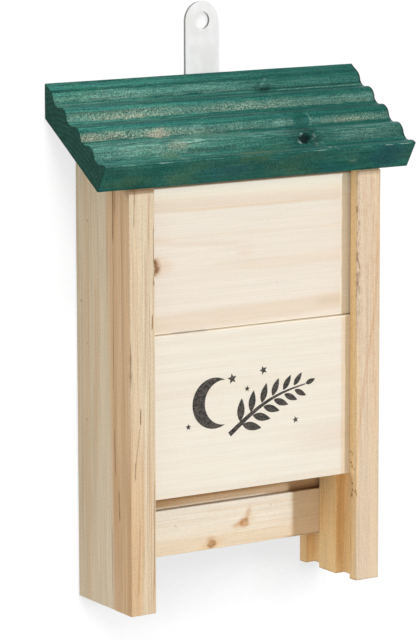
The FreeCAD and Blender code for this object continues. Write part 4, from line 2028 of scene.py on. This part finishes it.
        # Painted shade: the glow dims where the box hides the sky, but not right of the box or far below.
        shaded = sh.span(sky, 0.60, 0.83, self.shade, 1.0)
        lit_side = sh.span(place[0], 0.088, 0.102, self.shade, 1.0)
        far_down = sh.span(place[2], -0.25, -0.40, self.shade, 1.0)
        bright = sh.math("MAXIMUM", shaded, sh.math("MAXIMUM", lit_side, far_down))
        glow = sh.node("Emission", None, bright)
        matt = sh.node("BsdfDiffuse", (0.8, 0.8, 0.8, 1))
        faint = sh.node("BsdfDiffuse", (0.03, 0.03, 0.03, 1))
        shown = sh.node("AddShader", faint.outputs[0], glow.outputs[0])
        face = sh.node("MixShader", sh.seen(), matt.outputs[0], shown.outputs[0])
        hidden = sh.math("MAXIMUM", here["Backfacing"], sh.node("LightPath").outputs["Is Shadow Ray"])
        clear = sh.node("BsdfTransparent")
        both = sh.node("MixShader", hidden, face.outputs[0], clear.outputs[0])
        sh.node("OutputMaterial", both.outputs[0])
        mesh.materials.append(sh.owner)


# Left side: streaks, stripes and specks of its outer and front faces

LEFT_OUTER_STREAKS = (
    Streak((19.4, 226), (18.8, 270), 0.6, 0.9),
    Streak((17.2, 244), (17.0, 272), 0.4, 0.6),
    Streak((19.8, 130), (19.2, 236), 0.3, 0.75),
    Streak((17.6, 82), (19.4, 116), 0.5, 0.6),
    Streak((13.2, 56), (14.2, 78), 0.5, 0.85),
    Streak((10.6, 8), (11.4, 58), 0.4, 0.35),
    Streak((22.0, 6), (22.4, 56), 0.3, 0.5),
    Streak((31.6, 190), (32.2, 228), 0.3, 0.3),
    Streak((9.0, 150), (9.4, 262), 0.3, 0.35),
    Streak((6.2, 60), (6.6, 150), 0.3, 0.3),
    Streak((43.0, 60), (44.0, 150), 0.3, 0.22),
    Streak((57.0, 30), (58.0, 200), 0.3, 0.18),
)
LEFT_FRONT_STREAKS = (
    Streak((-88.6, 238), (-88.2, 264), 0.3, 0.7),
    Streak((-74.7, 203), (-74.5, 210), 0.5, 0.8),
    Streak((-74.7, 214), (-74.5, 242), 0.4, 0.75),
    Streak((-78.2, 225), (-77.8, 262), 0.3, 0.35),
    Streak((-76.3, 176), (-75.9, 187), 0.35, 0.9),
    Streak((-84.7, 118), (-84.4, 130), 0.35, 0.95),
    Streak((-88.4, 92), (-84.7, 120), 0.3, 0.5),
    Streak((-88.6, 84), (-88.2, 97), 0.35, 0.75),
    Streak((-76.2, -2), (-74.8, 90), 0.3, 0.6),
    Streak((-80.6, 30), (-79.4, 120), 0.25, 0.3),
    Streak((-83.0, 20), (-83.4, 112), 0.7, 0.25, "ruddy"),
    Streak((-87.2, 8), (-84.9, 62), 0.6, 0.35, "ruddy"),
    Streak((-81.5, 130), (-80.2, 235), 0.6, 0.35, "ruddy"),
)
LEFT_OUTER_STRIPES = (
    Stripe("ruddy", 0.35, 0.5, 3.5, 1.0, 4.0, (130, 60)),
    Stripe("ruddy", 0.25, 8.0, 9.5, 1.5, 2.0),
    Stripe("ruddy", 0.22, 12.0, 15.0, 2.0, 2.0, (110, 70)),
    Stripe("tan", 0.25, 49, 52, 2, 3),
)
LEFT_FRONT_STRIPES = (
    Stripe("tan", 0.60, -93.0, -84.0, 1.0, 3.0, (150, 50)),
    Stripe("ruddy", 0.14, -90.0, -86.5, 2.0, 2.0, (85, 35)),
    Stripe("ruddy", 0.08, -79.5, -77.5, 1.0, 1.0),
)
LEFT_OUTER_SPECKS = (
    ((50.5, 163), (1.0, 0.6)),
    ((52.5, 114), (1.2, 0.8)),
    ((50, 238.5), (1.3, 0.6)),
    ((58, 188), (1.6, 0.6)),
)

# Chips of the right side's front lip: centre in Y and Z, radii and strength

LIP_CHIPS = (
    ((6.0, 83.2), (1.6, 1.0), 0.7),
    ((4.4, 81.4), (0.9, 1.8), 0.5),
    ((5.8, 76.0), (1.5, 1.1), 0.75),
    ((4.6, 73.6), (1.2, 1.4), 0.75),
    ((1.6, 72.2), (2.0, 1.0), 0.5),
    ((5.8, 65.0), (1.0, 1.8), 0.6),
    ((5.6, 62.3), (1.3, 1.1), 0.9),
    ((5.0, 58.2), (1.3, 1.2), 0.9),
    ((1.8, 57.9), (1.7, 0.9), 0.9),
    ((0.6, 56.0), (0.8, 1.6), 0.7),
    ((6.0, 54.9), (1.3, 1.1), 0.9),
)

# Stripes of the cross boards

UPPER_FRONT_STRIPES = (
    Stripe("tan", 0.36, 245.6, 253.5, 1.0, 3.5),
    Stripe("tan", 0.35, 245.2, 245.8, 0.4, 0.6),
    Stripe("tan", 0.40, 175.5, 182.5, 4.0, 3.0, lean=-0.03),
    Stripe("tan", 0.24, 219.5, 221.0, 1.6, 2.6, (20, -10), 0.10),
    Stripe("tan", 0.26, 206, 211, 2.5, 2.5, (-50, 0)),
    Stripe("tan", 0.18, 228.5, 229.5, 1.5, 1.5),
    Stripe("tan", 0.16, 235.5, 236.3, 1.0, 1.2, (-20, 20)),
)
LOWER_FRONT_STRIPES = (
    Stripe("tan", 0.20, 130.6, 131.4, 0.5, 0.8, (0, -40)),
    Stripe("tan", 0.14, 132, 138, 3.0, 3.0),
    Stripe("tan", 0.16, 147.5, 148.2, 0.5, 0.8),
    Stripe("tan", 0.16, 156.6, 157.2, 0.5, 0.8),
    Stripe("tan", 0.20, 165.3, 165.9, 0.4, 0.8),
    Stripe("tan", 0.15, 94, 102, 5, 5, (10, 50)),
    Stripe("ruddy", 0.10, 88, 96, 5, 6, (20, 60)),
    Stripe("tan", 0.22, 68, 71.5, 1, 3.0),
)
SLAT_STRIPES = (
    Stripe("tan", 0.45, 47.2, 48.0, 0.6, 0.9, (-20, 0)),
    Stripe("tan", 0.30, 35.6, 36.2, 0.5, 0.8, (-30, -10)),
    Stripe("tan", 0.22, 42.0, 42.6, 0.5, 0.8),
)

# Roof: wear beside the troughs, then spots with their painted value, strength, centre and radii

FLUTE_PLACES = (-113.0, -80.0, -55.0, -25.0, 0.0, 25.0, 50.0, 75.0, 113.0)
FLUTE_WEAR = (
    FluteWear(0, -4.2, -2.4, 4.5, "worn", (0.24, 0.30, 0.27, 0.22, 0.18, 0.10, 0.06, 0.06, 0.06)),
    FluteWear(0, -5.5, -2.0, 4.5, "mint", (0.24, 0.30, 0.27, 0.22, 0.17, 0.10, 0.06, 0.05, 0.04)),
    FluteWear(1, -3.5, -1.9, 4.8, "worn", (0.64, 0.76, 0.72, 0.70, 0.68, 0.60, 0.46, 0.34, 0.26)),
    FluteWear(1, -4.0, -1.5, 4.0, "mint", (0.00, 0.00, 0.00, 0.00, 0.04, 0.10, 0.16, 0.20, 0.20)),
    FluteWear(2, -3.4, -1.6, 3.6, "worn", (0.90, 0.94, 0.84, 0.55, 0.46, 0.24, 0.36, 0.54, 0.40)),
    FluteWear(3, -13.0, -7.0, 3.0, "mint", (0.24, 0.30, 0.28, 0.30, 0.22, 0.20, 0.05, 0.18, 0.18)),
    FluteWear(3, -6.0, -1.5, 3.0, "worn", (0.28, 0.34, 0.32, 0.16, 0.10, 0.05, 0.08, 0.16, 0.14)),
)
ROOF_SPOTS = (
    ("bare", 0.62, (-58, 53.0), (10.0, 3.8)),
    ("bare", 0.30, (-88, 52.2), (9, 1.6)),
    ("bare", 0.34, (-105, 52.5), (12, 3.2)),
    ("mint", 0.60, (31, 52.5), (10, 2.6)),
    ("bare", 0.25, (77, 53.0), (19, 1.5)),
    ("bare", 0.28, (-53, 68.5), (11, 4.5)),
    ("bare", 0.30, (-72, 34.5), (26, 2.0)),
    ("mint", 0.75, (-43, 66.5), (14, 4.2)),
    ("mint", 0.35, (-85, 68.0), (26, 6.0)),
    ("mint", 0.40, (-32, 52.5), (10, 5.0)),
    ("worn", 0.30, (-25, 58.0), (28, 5.0)),
    ("mint", 0.25, (8, 63.5), (22, 4.0)),
    ("olive", 0.70, (2, 80.0), (24, 6.0)),
    ("olive", 0.35, (20, 74.0), (12, 4.0)),
    ("olive", 0.40, (-60, 75), (10, 5.0)),
    ("mint", 0.30, (-56, 80.5), (6, 4.0)),
    ("deep", 0.45, (44, 43), (18, 5.5)),
    ("deep", 0.55, (80, 43), (45, 4.0)),
    ("mint", 0.22, (78, 69.0), (32, 6.0)),
    ("deep", 0.35, (30, 66), (9, 10.0)),
)
ROOF_FRONT_SPOTS = (
    ("olive", 0.60, (-6, 2.5), (17, 5.0)),
    ("olive", 0.50, (20, 9), (20, 14)),
    ("olive", 0.80, (69, 11.0), (5, 2.4)),
    ("mint", 0.35, (69, 11.0), (3, 1.2)),
    ("olive", 0.45, (-84, 14), (30, 7)),
    ("blue", 0.60, (-24, 10), (22, 6)),
    ("blue", 0.35, (55, 16), (12, 4)),
    ("blue", 0.60, (95, 8), (22, 12)),
    ("mark_and_shade", 0.14, (92, 7), (14, 8)),
)

# Stars of the print: centre in X and Z, radius and turn in degrees

STARS = ((-14, 139, 3.4, 8), (-3, 131.5, 2.0, -6), (9, 142, 2.9, 20), (33, 108, 2.2, 12), (-46, 112, 2.0, 0))

# Finishes of the pieces

LEFT_SIDE_WOOD = BareWood(
    "left_side_wood", GrainPattern(Grain.Z, (-150, 20), 3.1, 2.2, 1.0),
    early=linear(224, 209, 183), late=linear(205, 184, 148), tan=linear(218, 180, 136),
    ruddy=linear(176, 122, 74), ring_share=0.40, streak_share=0.25, hair_share=0.34, fibre_share=0.09)
RIGHT_SIDE_WOOD = BareWood(
    "right_side_wood", GrainPattern(Grain.Z, (60, -60), 2.6, 2.6, 4.0),
    early=linear(226, 205, 178), late=linear(208, 176, 140), tan=linear(254, 214, 149),
    ruddy=linear(198, 142, 86), ring_share=0.24, streak_share=0.25, hair_share=0.25)
UPPER_FRONT_WOOD = BareWood(
    "upper_front_wood", GrainPattern(Grain.X, (-20, 420), 6.3, 6.0, 7.0),
    early=linear(236, 226, 212), late=linear(228, 212, 190), tan=linear(225, 199, 166),
    ruddy=linear(186, 142, 100), pale=linear(254, 244, 223),
    ring_share=0.16, streak_share=0.14, hair_share=0.0, fibre_share=0.035, mottle_share=0.02)
LOWER_FRONT_WOOD = BareWood(
    "lower_front_wood", GrainPattern(Grain.X, (-40, 330), 7.4, 6.0, 12.0),
    early=linear(237, 229, 215), late=linear(231, 219, 199), tan=linear(225, 204, 173),
    ruddy=linear(194, 150, 110), pale=linear(254, 244, 223),
    ring_share=0.14, streak_share=0.12, hair_share=0.0, fibre_share=0.035, mottle_share=0.02)
SLAT_WOOD = BareWood(
    "slat_wood", GrainPattern(Grain.X, (10, 140), 4.6, 2.2, 15.0),
    early=linear(242, 231, 212), late=linear(232, 213, 183), tan=linear(231, 203, 165),
    ruddy=linear(198, 140, 86),
    ring_share=0.28, streak_share=0.22, hair_share=0.15, fibre_share=0.06, mottle_share=0.035)
BACK_WOOD = BareWood(
    "back_wood", GrainPattern(Grain.X, (90, 400), 4.0, 3.0, 21.0),
    early=linear(238, 226, 205), late=linear(226, 204, 168), tan=linear(220, 190, 148),
    ruddy=linear(188, 146, 98), ring_share=0.5, streak_share=0.4, hair_share=0.15)
ROOF_STAIN = StainedWood("roof_stain", GrainPattern(Grain.X, (20, 230), 3.2, 2.0, 30.0))
HANGER_PAINT = WhitePaint("hanger_paint")
SCREW_ZINC = BareSteel("screw_zinc", linear(208, 208, 206), linear(176, 178, 182), 0.32, (3, 0.5, 3))
NAIL_STEEL = BareSteel("nail_steel", linear(170, 170, 170), linear(132, 134, 136), 0.4, (3, 3, 0.4))
PRINT_INK = BlackInk("print_ink")


def main() -> None:
    """Build every piece in order."""
    logging.basicConfig(level=logging.INFO, format="%(name)s %(message)s")
    bpy.context.scene.view_settings.view_transform = "Standard"
    Studio().build()
    SideBoard(Side.LEFT).build()
    SideBoard(Side.RIGHT).build()
    Board("front_board_lower", LOWER_FRONT_WOOD, work_lower_front, edge_radius=0.25).build()
    Board("front_board_upper", UPPER_FRONT_WOOD, work_upper_front, bevelled=True, edge_radius=0.25).build()
    Board("back_slat", SLAT_WOOD, work_slat).build()
    Board("back_board_lower", BACK_WOOD, work_back, drop=1.9).build()
    Board("back_board_middle", BACK_WOOD, work_back).build()
    Board("back_board_top", BACK_WOOD, work_back, bevelled=True).build()
    RoofBoard().build()
    Hanger().build()
    Nails().build()
    Print().build()


if __name__ == "__main__":
    main()
